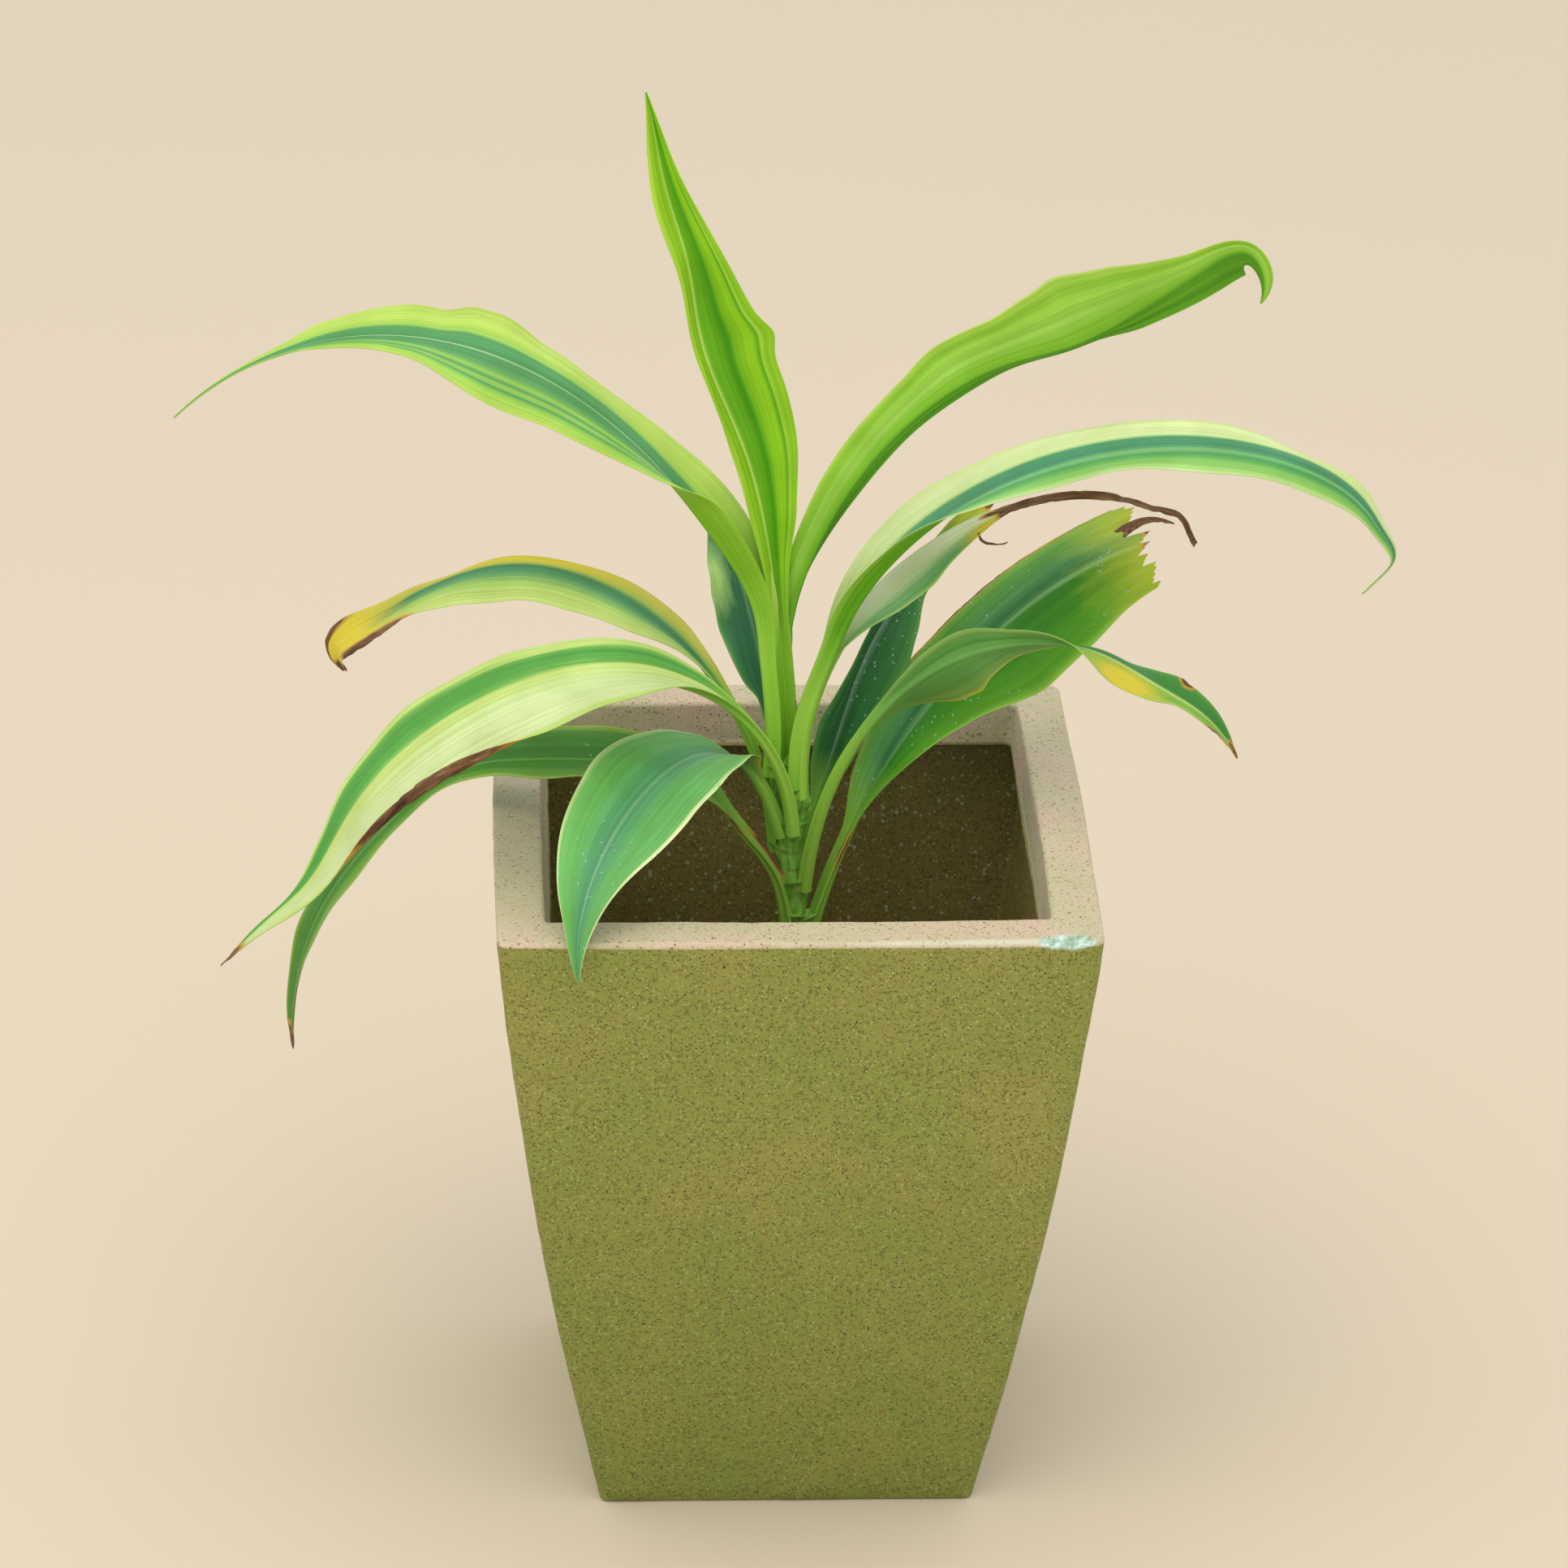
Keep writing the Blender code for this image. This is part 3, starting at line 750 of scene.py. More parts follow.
def midrib(leaf, share):
    """The midrib's points: the foot, plus the arch's reach along the heading, plus a bow of 4 s (1 - s)."""
    heading = math.radians(leaf.heading)
    outward = np.array([math.cos(heading), math.sin(heading), 0.0])
    left = np.array([-math.sin(heading), math.cos(heading), 0.0])
    arch = blend(leaf.arch, share)
    for at, reach, rise, length in leaf.bends:
        arch = arch + local(share, at, length)[..., None] * np.array([reach, rise])
    points = np.array([*leaf.foot, 0.0]) + arch[..., :1] * outward
    points += (leaf.bow * 4 * share * (1 - share))[..., None] * left
    points[..., 2] = arch[..., 1]
    return points


def unit(vectors):
    """The vectors, each at length 1."""
    return vectors / np.linalg.norm(vectors, axis=-1, keepdims=True)


def leaf_axes(leaf, share):
    """The directions to the right margin and out of the upper face: level ones, rolled about the midrib."""
    heading = math.radians(leaf.heading)
    left = np.array([-math.sin(heading), math.cos(heading), 0.0])
    step = 1e-3
    tangent = unit(midrib(leaf, share + step) - midrib(leaf, share - step))
    level = unit(-left + (tangent @ left)[..., None] * tangent)
    roll = np.radians(through(leaf.roll, share))[..., None]
    side = np.cos(roll) * level - np.sin(roll) * np.cross(level, tangent)
    return side, np.cross(side, tangent)


def half_width(leaf, share, across):
    """Half the width: the left half's to the left of the midrib and the right half's to the right of it."""
    return np.where(across < 0, through(leaf.left, share), through(leaf.right, share))


def patches(marks, share, across):
    """The greatest of some soft spots, each amount * exp(-(ds / long) ** 2 - (da / wide) ** 2)."""
    field = np.zeros_like(share)
    for at, place, long, wide, amount in marks:
        spot = amount * np.exp(-(((share - at) / long) ** 2) - ((across - place) / wide) ** 2)
        field = np.maximum(field, spot)
    return field


print("a leaf's grid:", ALONG, "by", COLUMNS, "points on each face")

# %% [markdown]
# The cross-section starts as a soft V: height sqrt(a * a + crease) across. On it come shallow pleats
# between the veins, slow ruffles that grow towards the margins, single waves, and rolled margins, where
# the strip past the reach is wound on a circle. The upper face has a narrow groove over the midrib, and
# the lower face lies below it by a thickness that is greatest in the stalk and along the keel.

# %% The leaf's surface
MARGIN_THICK, MORE_INSIDE, STALK_THICK, STALK_ROUND, EDGE_THICK = 0.3, 0.25, 2.2, 0.45, 0.25
PLEAT, PLEATS, GROOVE, GROOVE_WIDE, KEEL, KEEL_WIDE = 0.22, 19, 0.45, 0.9, 1.3, 1.5
CRUMPLE, CRUMPLE_SIZE, RUFFLES, STALK_FADE, BLADE_FADE = 0.35, 5, 7, 0.1, 0.2
DRY_BEFORE, DRY_PAST = 0.03, 0.02
TEETH = ((0.55, 1.4, 0.35, 0.0, 0.0), (0.33, 2.7, 0.0, 0.4, 5.0), (0.12, 6.1, 0.0, 0.5, 8.0))


def profile_across(leaf, share, across, seed):
    """The section's (sideways, upward) offsets in mm: its fold, pleats, ruffles, waves and curls, added."""
    half = half_width(leaf, share, across)
    blade = ease(share, leaf.blade_from, leaf.blade_from + BLADE_FADE) * ease(half, 1, 8)
    fold = np.radians(through(leaf.fold, share))
    sideways = half * across * np.cos(fold)
    upward = half * (np.sqrt(across**2 + CREASE) - math.sqrt(CREASE)) * np.sin(fold)
    pleats = np.cos(across * PLEATS + 1.2 * np.sin(share * 9))
    upward += PLEAT * blade * np.sin(np.pi * np.abs(across)) * pleats
    edge_place = np.stack([share * RUFFLES, np.sign(across) * 5 + across], -1)
    upward += leaf.ruffle * blade * across**2 * unevenness(edge_place, 1.0, seed)
    for at, side, height, length in leaf.waves:
        upward += height * np.exp(-(((share - at) / length) ** 2)) * np.clip(across * side, 0, 1) ** 2
    for at, side, reach, turn, length in leaf.curls:
        angle = np.radians(turn) * np.exp(-(((share - at) / length) ** 2))
        angle = np.where(np.abs(angle) < 1e-3, 1e-3, angle)
        t = np.clip((across * side - reach) / (1 - reach), 0, 1)
        strip = half * (1 - reach)
        along = strip * (np.sin(angle * t) / angle - t)
        rise = strip * (1 - np.cos(angle * t)) / angle
        sideways += side * (along * np.cos(fold) - rise * np.sin(fold))
        upward += along * np.sin(fold) + rise * np.cos(fold)
    return sideways, upward


def leaf_shell(leaf, seed, rows=ALONG):
    """The points of both faces, the faces, the pattern's uv places, and the fields that the skin reads.

    A torn end stops each column short by the ragged length times its teeth, a sum of saw-tooth waves
    height * ((a * rate + shift + sway * sin(a * turn)) % 1).
    """
    columns = TORN_COLUMNS if leaf.ragged else COLUMNS
    across = np.linspace(-1, 1, columns)[None, :] + np.zeros((rows, 1))
    teeth = sum(height * ((across * rate + shift + sway * np.sin(across * turn)) % 1)
                for height, rate, shift, sway, turn in TEETH)
    share = np.linspace(0, 1, rows)[:, None] * (leaf.torn_at - leaf.ragged * teeth)
    stalk = np.clip(1 - share / (leaf.blade_from + STALK_FADE), 0, 1)
    dry_end = ease(share, leaf.dry_from - DRY_BEFORE, leaf.dry_from + DRY_PAST)
    dry = np.maximum(patches(leaf.dry, share, across), dry_end)
    yellow = patches(leaf.yellow, share, across)

    sideways, upward = profile_across(leaf, share, across, seed)
    half = half_width(leaf, share, across)
    from_rib = across * half
    upward -= GROOVE * (1 - share) * np.exp(-((from_rib / GROOVE_WIDE) ** 2))
    side, out = leaf_axes(leaf, share)
    upper = midrib(leaf, share) + sideways[..., None] * side + upward[..., None] * out
    normal = normals(upper, False)
    upper += normal * (CRUMPLE * np.clip(dry, 0, 1) * unevenness(upper, CRUMPLE_SIZE, seed))[..., None]
    blade_thick = (MARGIN_THICK + MORE_INSIDE * (1 - across**2)) * (1 - stalk)
    stalk_thick = STALK_THICK * stalk * (1 - STALK_ROUND * across**2)
    keel = KEEL * (1 - share) ** 1.3 * np.exp(-((from_rib / KEEL_WIDE) ** 2))
    thickness = np.minimum(blade_thick + stalk_thick + keel, EDGE_THICK + half)
    lower = upper - normal * thickness[..., None]

    pattern = np.stack([(across + 1) / 2, share], -1).reshape(-1, 2)
    fields = {name: np.tile(values.ravel(), 2)
              for name, values in (("stalk", stalk), ("dry", dry), ("yellow", yellow))}
    fields["underside"] = np.repeat([0.0, 1.0], share.size)
    points = np.concatenate([upper.reshape(-1, 3), lower.reshape(-1, 3)])
    return points, shell_faces(rows, columns), np.tile(pattern, (2, 1)), fields


print("leaf thickness:", MARGIN_THICK, "mm at the margin,", STALK_THICK, "mm in the stalk")

# %% [markdown]
# ## Leaf skin
#
# A dracaena leaf is waxy, with parallel veins and stripes of green and cream that run its whole length.
# The stripes are a colour ramp across the leaf, and a noise drawn out along the veins shifts the ramp
# a little, so that each stripe frays along the veins. A finer noise of the same kind gives the veins'
# tone and relief. The two faces have ramps of their own, which on a few leaves also hold painted shade,
# painted sheen, painted light shining through or a painted reflection of the sky, and fields on the mesh
# say where the leaf yellows or has dried. Pale flecks gather in clouds on some leaves, and are drawn
# 0.9 mm wide, so that they show. Wax keeps the roughness at 0.45.

# %% The leaf material
SHAKE, VEINS = 0.5, 75.0


def ragged_mask(tree, field, noise, low, high):
    """A field's soft spot as a mask with a ragged edge: field + SHAKE * (noise - 0.5), from low to high."""
    value = add(tree, "Attribute", attribute_name=field).outputs["Fac"]
    shaken = add(tree, "Math", {0: noise, 1: SHAKE, 2: value}, operation="MULTIPLY_ADD")
    ends = {1: low + SHAKE / 2, 2: high + SHAKE / 2}
    return add(tree, "MapRange", {0: shaken, **ends})


def leaf_skin(name, face, back, stalk="#7fae44", ripe="#d6c63c", flecks=0.0, fray=0.14, seed=0):
    """Waxy striped skin: the face's and the back's stops run from the left margin, 0, to the right, 1."""
    material, tree, shader = start_material(name)
    pattern = add(tree, "UVMap", uv_map="pattern")
    place = add(tree, "TexCoord").outputs["Object"]
    noises = []
    for shift, scale, detail, rough in (
            ((seed * 3.7, seed * 1.9, 0.0), (13.0, 1.5, 1.0), 3.0, 0.6),
            ((seed, 0.0, 0.0), (VEINS, 2.5, 1.0), 1.0, 0.5),
            ((seed, seed, 0.0), (12.0, 14.0, 1.0), 4.0, 0.65)):
        drawn = add(tree, "Mapping", {"Vector": pattern, "Location": shift, "Scale": scale})
        inputs = {"Vector": drawn, "Scale": 1.0, "Detail": detail, "Roughness": rough}
        noises.append(add(tree, "TexNoise", inputs))
    streaks, veins, torn = noises
    across = add(tree, "SeparateXYZ", {0: pattern})
    shifted = add(tree, "Math", {0: streaks, 1: fray, 2: across}, operation="MULTIPLY_ADD")
    centred = add(tree, "Math", {0: shifted, 1: fray / 2}, operation="SUBTRACT")
    upper = add(tree, "ValToRGB", {0: centred}, stops=face)
    lower = add(tree, "ValToRGB", {0: centred}, stops=back)
    cloud = add(tree, "TexNoise", {"Vector": place, "Scale": 1 / 0.03, "Detail": 2.0})
    underside, foot = [
        add(tree, "Attribute", attribute_name=field).outputs["Fac"] for field in ("underside", "stalk")]
    tone = add(tree, "ValToRGB", {0: veins}, stops=((0.35, "#dce2c8"), (0.6, "#ffffff")))
    shade = add(tree, "ValToRGB", {0: cloud}, stops=((0.35, "#e6ead6"), (0.65, "#ffffff")))
    green = add(tree, "ValToRGB", {0: veins}, stops=((0.3, stalk), (0.7, "#acdc50")))
    brown = add(tree, "ValToRGB", {0: torn}, stops=((0.35, "#3c2718"), (0.5, "#6f4c30"), (0.68, "#a5845a")))
    layers = [
        (underside, lower),
        (0.7, tone, "MULTIPLY"),
        (0.8, shade, "MULTIPLY"),
        (add(tree, "MapRange", {0: foot, 1: 0.05, 2: 0.45}), green),
        (ragged_mask(tree, "yellow", torn, 0.15, 0.75), ripe),
        (ragged_mask(tree, "dry", torn, 0.22, 0.36), "#c09a3c"),
        (ragged_mask(tree, "dry", torn, 0.40, 0.52), brown),
    ]
    if flecks:
        somewhere = add(tree, "MapRange", {0: cloud, 1: 0.50, 2: 0.56})
        spots = chips(tree, place, 0.0011, flecks, seed)
        specks = add(tree, "Math", {0: spots, 1: somewhere}, operation="MULTIPLY")
        layers.append((specks, "#92b698"))
    colour = layered(tree, upper, layers)
    ribs = add(tree, "Bump", {"Height": veins, "Strength": 0.45, "Distance": 0.0004})
    wax = {"Roughness": 0.45, "IOR": 1.4, "Specular IOR Level": 0.3}
    fill(tree, shader, {"Base Color": colour, "Normal": ribs, **wax})
    return material


print("leaf skins: one ramp for each face, veins", round(50 / VEINS, 1), "mm apart on a leaf 50 mm wide")

# %% [markdown]
# ## The leaves
#
# Thirteen leaves grow round the stem, youngest at the top. Each one is written as its form and its two
# ramps of colour, from the left margin to the right one as seen from the stem. It becomes a shell of its
# own with a skin of its own, in the place of its solid.

# %% How a leaf is made
LEAVES = {}


def grow(name, slot, leaf, **skin):
    """Makes a leaf from its form and its skin's colours. Its number among the leaves seeds their noise."""
    LEAVES[name] = leaf
    seed = len(LEAVES)
    points, faces, pattern, fields = leaf_shell(leaf, seed)
    finish = leaf_skin(name.replace("_", " ") + " skin", seed=seed, **skin)
    place_piece(make_object(name + "_blade", points * MM, faces, finish, pattern, **fields), slot, name)


print("each leaf has", 2 * ALONG * COLUMNS, "points, or", 2 * ALONG * TORN_COLUMNS, "where its end is torn")

# %% [markdown]
# First come the five tall ones, which are lime, striped or cream.

# %% The upper leaves
grow("leaf_spear", "leaf_lime", Leaf(
    heading=154, foot=(-1, 1.5), arch=((0, 321.7), (2, 420), (28, 505), (68, 616)),
    bends=((0.65, 10.5, 0, 0.13), (0.87, 5.5, 0, 0.10)), blade_from=0.25,
    left=((0, 5), (0.22, 4.6), (0.3, 7), (0.42, 11), (0.5, 10), (0.62, 6), (0.74, 6.5), (0.84, 9),
          (0.92, 6), (1, TIP)),
    right=((0, 5), (0.22, 4.6), (0.3, 7.5), (0.4, 16), (0.5, 26), (0.56, 30), (0.6, 31), (0.65, 34),
           (0.7, 27), (0.8, 15.5), (0.9, 8), (1, TIP)),
    roll=((0, -50), (0.4, -40), (0.7, -49), (1, -70)), fold=((0, 45), (0.5, 41), (0.8, 37), (1, 40))),
    face=((0.0, "#c0e850"), (0.25, "#a0d62a"), (0.46, "#98d026"), (0.50, "#cdee80"), (0.53, "#74bc1a"),
          (0.62, "#66b214"), (0.69, "#48a00a"), (0.745, "#8acc1e"), (0.80, "#9cda20"), (0.855, "#94d21e"),
          (0.88, "#5eb012"), (0.90, "#b0e448"), (0.94, "#92d022"), (1.0, "#a8de34")),
    back=((0.0, "#a6dc48"), (0.5, "#7fc03a"), (1.0, "#a6dc48")), stalk="#84c420", fray=0.05)

grow("leaf_arch_left", "leaf_striped", Leaf(
    heading=176, foot=(-8.2, -4), arch=((0, 318), (-12, 463), (155, 575), (254, 477)),
    bends=((0.6, 0, 4.3, 0.28), (0.2, -4, 0, 0.08)), blade_from=0.14,
    left=((0, 5), (0.12, 6), (0.2, 10), (0.3, 16), (0.4, 17), (0.5, 21), (0.58, 24), (0.65, 21), (0.7, 16),
          (0.8, 9), (0.9, 3), (1, TIP)),
    right=((0, 5), (0.12, 7), (0.2, 13.5), (0.3, 23), (0.4, 21), (0.5, 22), (0.63, 21.5), (0.67, 15),
           (0.7, 15.5), (0.76, 13.5), (0.8, 10), (0.85, 4), (0.9, 2.2), (1, TIP)),
    roll=((0, 0), (0.3, 8), (0.4, -10), (0.5, -22), (0.6, -30), (0.7, -22), (0.8, -14), (1, -8)),
    fold=((0, 50), (0.2, 60), (0.3, 55), (0.38, 12), (0.5, -14), (0.6, -6), (0.7, 15), (0.85, 18), (1, 10)),
    waves=((0.60, 1, 2.0, 0.02), (0.55, 1, -1.5, 0.02))),
    face=((0.0, "#c4e468"), (0.08, "#b2dc60"), (0.14, "#a0d45c"), (0.18, "#68b06a"), (0.22, "#a8d868"),
          (0.27, "#64aa6a"), (0.31, "#a0d464"), (0.36, "#64a868"), (0.42, "#5ea268"), (0.49, "#5a9e66"),
          (0.50, "#c4e4a8"), (0.515, "#50985e"), (0.60, "#5aa266"), (0.66, "#60a666"), (0.70, "#a2d25e"),
          (0.78, "#bade62"), (1.0, "#c8e270")),
    back=((0.0, "#98ce38"), (0.5, "#84be28"), (1.0, "#b0da50")), stalk="#88c634", fray=0.05)

grow("leaf_arch_right", "leaf_lime", Leaf(
    heading=-16, foot=(1, 7.1), arch=((0, 316), (-24, 413), (28, 533), (215, 580), (195, 550)),
    bends=((0.42, 0, 3, 0.12), (0.64, 0, -8, 0.08), (0.865, 0, 17, 0.10)), blade_from=0.10,
    left=((0, 5), (0.12, 5.5), (0.2, 6.5), (0.3, 7), (0.4, 8.5), (0.5, 8.5), (0.6, 5), (0.65, 3.5),
          (0.7, 9), (0.8, 14), (0.87, 13), (0.91, 6), (0.95, 3), (1, TIP)),
    right=((0, 5), (0.12, 6), (0.2, 8.5), (0.3, 11), (0.4, 13.5), (0.45, 15.5), (0.5, 20), (0.55, 20.5),
           (0.6, 26.5), (0.65, 31), (0.7, 25), (0.75, 15), (0.8, 8.5), (0.87, 5), (0.93, 4.5), (1, TIP)),
    roll=((0, -35), (0.2, -50), (0.4, -68), (0.6, -68), (0.7, -73), (0.86, -75), (1, -60)),
    fold=((0, 45), (0.2, 50), (0.35, 26), (0.5, 26), (0.6, 22), (0.7, 10), (0.88, 8), (1, 20))),
    face=((0.0, "#a4da45"), (0.3, "#6fbb2c"), (0.5, "#4f9f50"), (0.7, "#5fa860"), (1.0, "#a4da45")),
    # Painted light on the back: its far half, up to 0.5, is painted darker for the shade it lies in, over
    # its own stripes, and the pale band from 0.66 to 0.78 is a painted sheen.
    back=((0.0, "#74ba2a"), (0.15, "#539f1c"), (0.30, "#6ab224"), (0.45, "#5aa61e"), (0.50, "#7fc434"),
          (0.56, "#8ccc34"), (0.66, "#a6dc5c"), (0.78, "#a4da50"), (0.90, "#94d038"), (0.98, "#b6e05c"),
          (1.0, "#d0ee84")), stalk="#80c028")

grow("leaf_sweep_right", "leaf_cream", Leaf(
    heading=-7, foot=(4.2, -5.5), arch=((0, 308), (-7, 415), (84, 540), (286, 490), (236, 416)),
    bends=((0.94, 6, 0, 0.04), (0.12, 3, 0, 0.08)), blade_from=0.10,
    left=((0, 5.5), (0.12, 8), (0.2, 16), (0.3, 28), (0.4, 24), (0.5, 20), (0.6, 18), (0.7, 15), (0.8, 11),
          (0.9, 5), (0.95, 2.5), (1, TIP)),
    right=((0, 5.5), (0.15, 6.5), (0.2, 8.5), (0.3, 14), (0.4, 20), (0.5, 20), (0.6, 20), (0.7, 18),
           (0.8, 14), (0.9, 6), (0.95, 2.5), (1, TIP)),
    roll=((0, -30), (0.2, -16), (0.3, -8), (0.4, 5), (0.5, 10), (0.7, 9), (0.8, 12), (1, 25)),
    fold=((0, 45), (0.2, 50), (0.3, 30), (0.4, 8), (0.5, 2), (0.6, -2), (0.75, -9), (1, 10))),
    face=((0.0, "#d2e690"), (0.06, "#dcebaa"), (0.24, "#d6e8a6"), (0.31, "#c4de8c"), (0.35, "#54a070"),
          (0.44, "#4a9468"), (0.50, "#448e64"), (0.55, "#4c986a"), (0.62, "#84c478"), (0.68, "#4e9e64"),
          (0.76, "#72bc5e"), (0.88, "#9ad26a"), (1.0, "#d2eea4")),
    back=((0.0, "#b9d980"), (0.4, "#9ccf60"), (0.52, "#6cb820"), (0.8, "#70bc20"), (1.0, "#a4d858")),
    stalk="#90c844", fray=0.06)

grow("leaf_withered", "leaf_cream", Leaf(
    heading=11, foot=(6.3, 2.6), arch=((0, 298), (-16, 395), (87, 462), (142, 450), (172, 409)),
    bends=((0.75, 0, -2, 0.3), (0.92, 3, 3, 0.05)), dry_from=0.54, ruffle=0.4,
    left=((0, 2.8), (0.2, 2.8), (0.26, 4.5), (0.33, 5.5), (0.42, 4), (0.5, 3), (0.56, 1.8), (0.72, 1.9),
          (0.9, 1.4), (1, 1.4)),
    right=((0, 2.8), (0.2, 2.8), (0.26, 8), (0.33, 14), (0.38, 15), (0.43, 11), (0.5, 5.5), (0.56, 1.8),
           (0.72, 1.9), (0.9, 1.4), (1, 1.4)),
    roll=((0, 0), (0.2, 10), (0.35, 25), (0.5, 30), (0.62, 40), (0.7, 85), (0.8, 20), (0.9, 55), (1, 75)),
    fold=((0, 40), (0.2, 25), (0.35, -5), (0.55, 5), (0.7, 15), (1, 10)),
    yellow=((0.51, 0.8, 0.05, 0.6, 0.9),), dry=((0.53, -0.3, 0.03, 0.5, 0.7), (0.56, 0.9, 0.03, 0.4, 0.6))),
    # The face's near-white middle, from 0.15 to 0.5, is the leaf's cream painted paler for the light that
    # shines through it.
    face=((0.0, "#e8f2c8"), (0.15, "#fdfeee"), (0.50, "#fafce4"), (0.66, "#e6f2c8"), (0.80, "#94cc92"),
          (0.93, "#7cba78"), (1.0, "#bce08c")),
    back=((0.0, "#dcecb0"), (0.5, "#c8e0a0"), (1.0, "#94c474")), stalk="#98cc58")
print("upper leaves:", len(LEAVES))

# %% [markdown]
# The leaves on the right are older: dark, ribbed and torn. One twists over, so that it shows its back
# first and its face beyond the twist.

# %% The right-hand leaves
grow("leaf_rear_right", "leaf_teal", Leaf(
    heading=46, foot=(4.8, 5.8), arch=((0, 272), (21, 318), (73, 392), (125, 403)), bow=2,
    bends=((0.55, -8, 3, 0.2),),
    left=((0, 3.2), (0.15, 3.2), (0.25, 10), (0.33, 13), (0.42, 8), (0.5, 5), (0.7, 6), (0.85, 6),
          (1, TIP)),
    right=((0, 3.2), (0.15, 3.2), (0.25, 10), (0.4, 17), (0.52, 21), (0.6, 17), (0.7, 8.5), (0.8, 7.5),
           (0.9, 6.5), (1, 1.5)),
    roll=((0, 10), (0.3, 42), (0.6, 50), (1, 30)), fold=((0, 40), (0.6, 37), (1, 25)),
    yellow=((0.95, 0.0, 0.14, 3.0, 0.9),), dry=((0.99, 0.4, 0.03, 0.9, 0.9),)),
    face=((0.0, "#6fa85a"), (0.15, "#3c7a42"), (0.45, "#306c40"), (0.49, "#7f9f88"), (0.53, "#5a8568"),
          (0.58, "#306a3c"), (0.85, "#387a40"), (1.0, "#5f9a4a")),
    back=((0.0, "#3f7a50"), (0.5, "#4c8560"), (1.0, "#3f7a50")), stalk="#3f7a40", ripe="#a9b436",
    flecks=0.05)

grow("leaf_broad_right", "leaf_green", Leaf(
    heading=23, foot=(10.5, -3), arch=((0, 246), (27, 335), (102, 402), (219, 396)), torn_at=0.83,
    ragged=0.045, bends=((0.72, 0, 8, 0.3),),
    left=((0, 3), (0.15, 3), (0.25, 12), (0.4, 20), (0.55, 20), (0.7, 20), (0.84, 21), (1, 18)),
    right=((0, 3), (0.15, 3), (0.25, 8), (0.35, 14), (0.42, 20), (0.56, 33), (0.65, 31), (0.75, 24),
           (0.84, 19), (1, 14)),
    roll=((0, 0), (0.2, 12), (0.4, 34), (0.6, 42), (1, 36)),
    fold=((0, 40), (0.2, 28), (0.4, -2), (0.6, -14), (1, -6)),
    yellow=((0.86, 0.5, 0.14, 1.2, 0.9), (0.84, -0.6, 0.12, 0.6, 0.85)),
    dry=((0.83, -0.35, 0.016, 0.35, 0.8), (0.82, 0.15, 0.018, 0.22, 0.8), (0.83, -0.9, 0.012, 0.1, 0.8),
         (0.55, -1.0, 0.2, 0.05, 0.6), (0.13, 0.7, 0.05, 0.4, 0.65))),
    # The face's blue-green band from 0.3 to 0.46 is a painted reflection of the sky on the leaf's dark
    # green.
    face=((0.0, "#8a6a4a"), (0.02, "#7fac4a"), (0.12, "#5e9e42"), (0.30, "#549656"), (0.40, "#418452"),
          (0.46, "#347642"), (0.50, "#7cb076"), (0.55, "#3a8826"), (0.75, "#48961a"), (0.95, "#62a624"),
          (1.0, "#94c84c")),
    back=((0.0, "#5f9448"), (0.5, "#4c8a3a"), (1.0, "#5f9448")), stalk="#5c9a34", ripe="#a6b630",
    flecks=0.04)

grow("leaf_twist_right", "leaf_green", Leaf(
    heading=-12, foot=(6.2, -6.5), arch=((0, 264), (11, 382), (96, 420), (160, 395), (186, 345)),
    bends=((0.77, 0, -6, 0.12),), ruffle=0.4,
    left=((0, 3.2), (0.18, 3.5), (0.25, 9), (0.3, 16), (0.35, 21.5), (0.39, 21.5), (0.43, 16), (0.5, 10),
          (0.6, 12), (0.7, 12.5), (0.8, 10.5), (0.9, 7), (1, TIP)),
    right=((0, 3.2), (0.2, 2.6), (0.25, 3.4), (0.3, 6), (0.35, 9.5), (0.42, 12.5), (0.5, 9), (0.6, 11),
           (0.7, 12.5), (0.8, 10), (0.9, 6), (1, TIP)),
    roll=((0, -30), (0.2, -52), (0.3, -66), (0.4, -76), (0.5, -58), (0.6, -26), (0.7, 6), (0.8, 10),
          (1, 15)),
    fold=((0, 40), (0.2, 30), (0.35, 6), (0.5, 8), (0.6, 0), (0.7, -22), (0.76, -7), (0.82, 19), (1, 10)),
    yellow=((0.71, 0.6, 0.07, 0.5, 1.0), (0.40, -1.0, 0.12, 0.12, 0.45)),
    dry=((0.99, 0.0, 0.03, 1.0, 1.0), (0.82, -1.0, 0.02, 0.3, 0.8), (0.92, 1.0, 0.03, 0.3, 0.7))),
    face=((0.0, "#6fae4c"), (0.10, "#4c9640"), (0.40, "#458c40"), (0.47, "#7ab858"), (0.50, "#d8e690"),
          (0.55, "#9cca50"), (0.80, "#7cb844"), (1.0, "#b4d25c")),
    back=((0.0, "#ccd862"), (0.04, "#8cb85e"), (0.30, "#6aa85a"), (0.50, "#7ab862"), (0.80, "#62a24c"),
          (1.0, "#98c46c")), stalk="#7cb43c", flecks=0.02)
print("right-hand leaves added:", len(LEAVES), "so far")

# %% [markdown]
# The left-hand leaves are the widest. The cream one has a dried and rolled margin, the small one above it
# ends in a yellow roll, and the green one in front hangs its tip over the planter's rim.

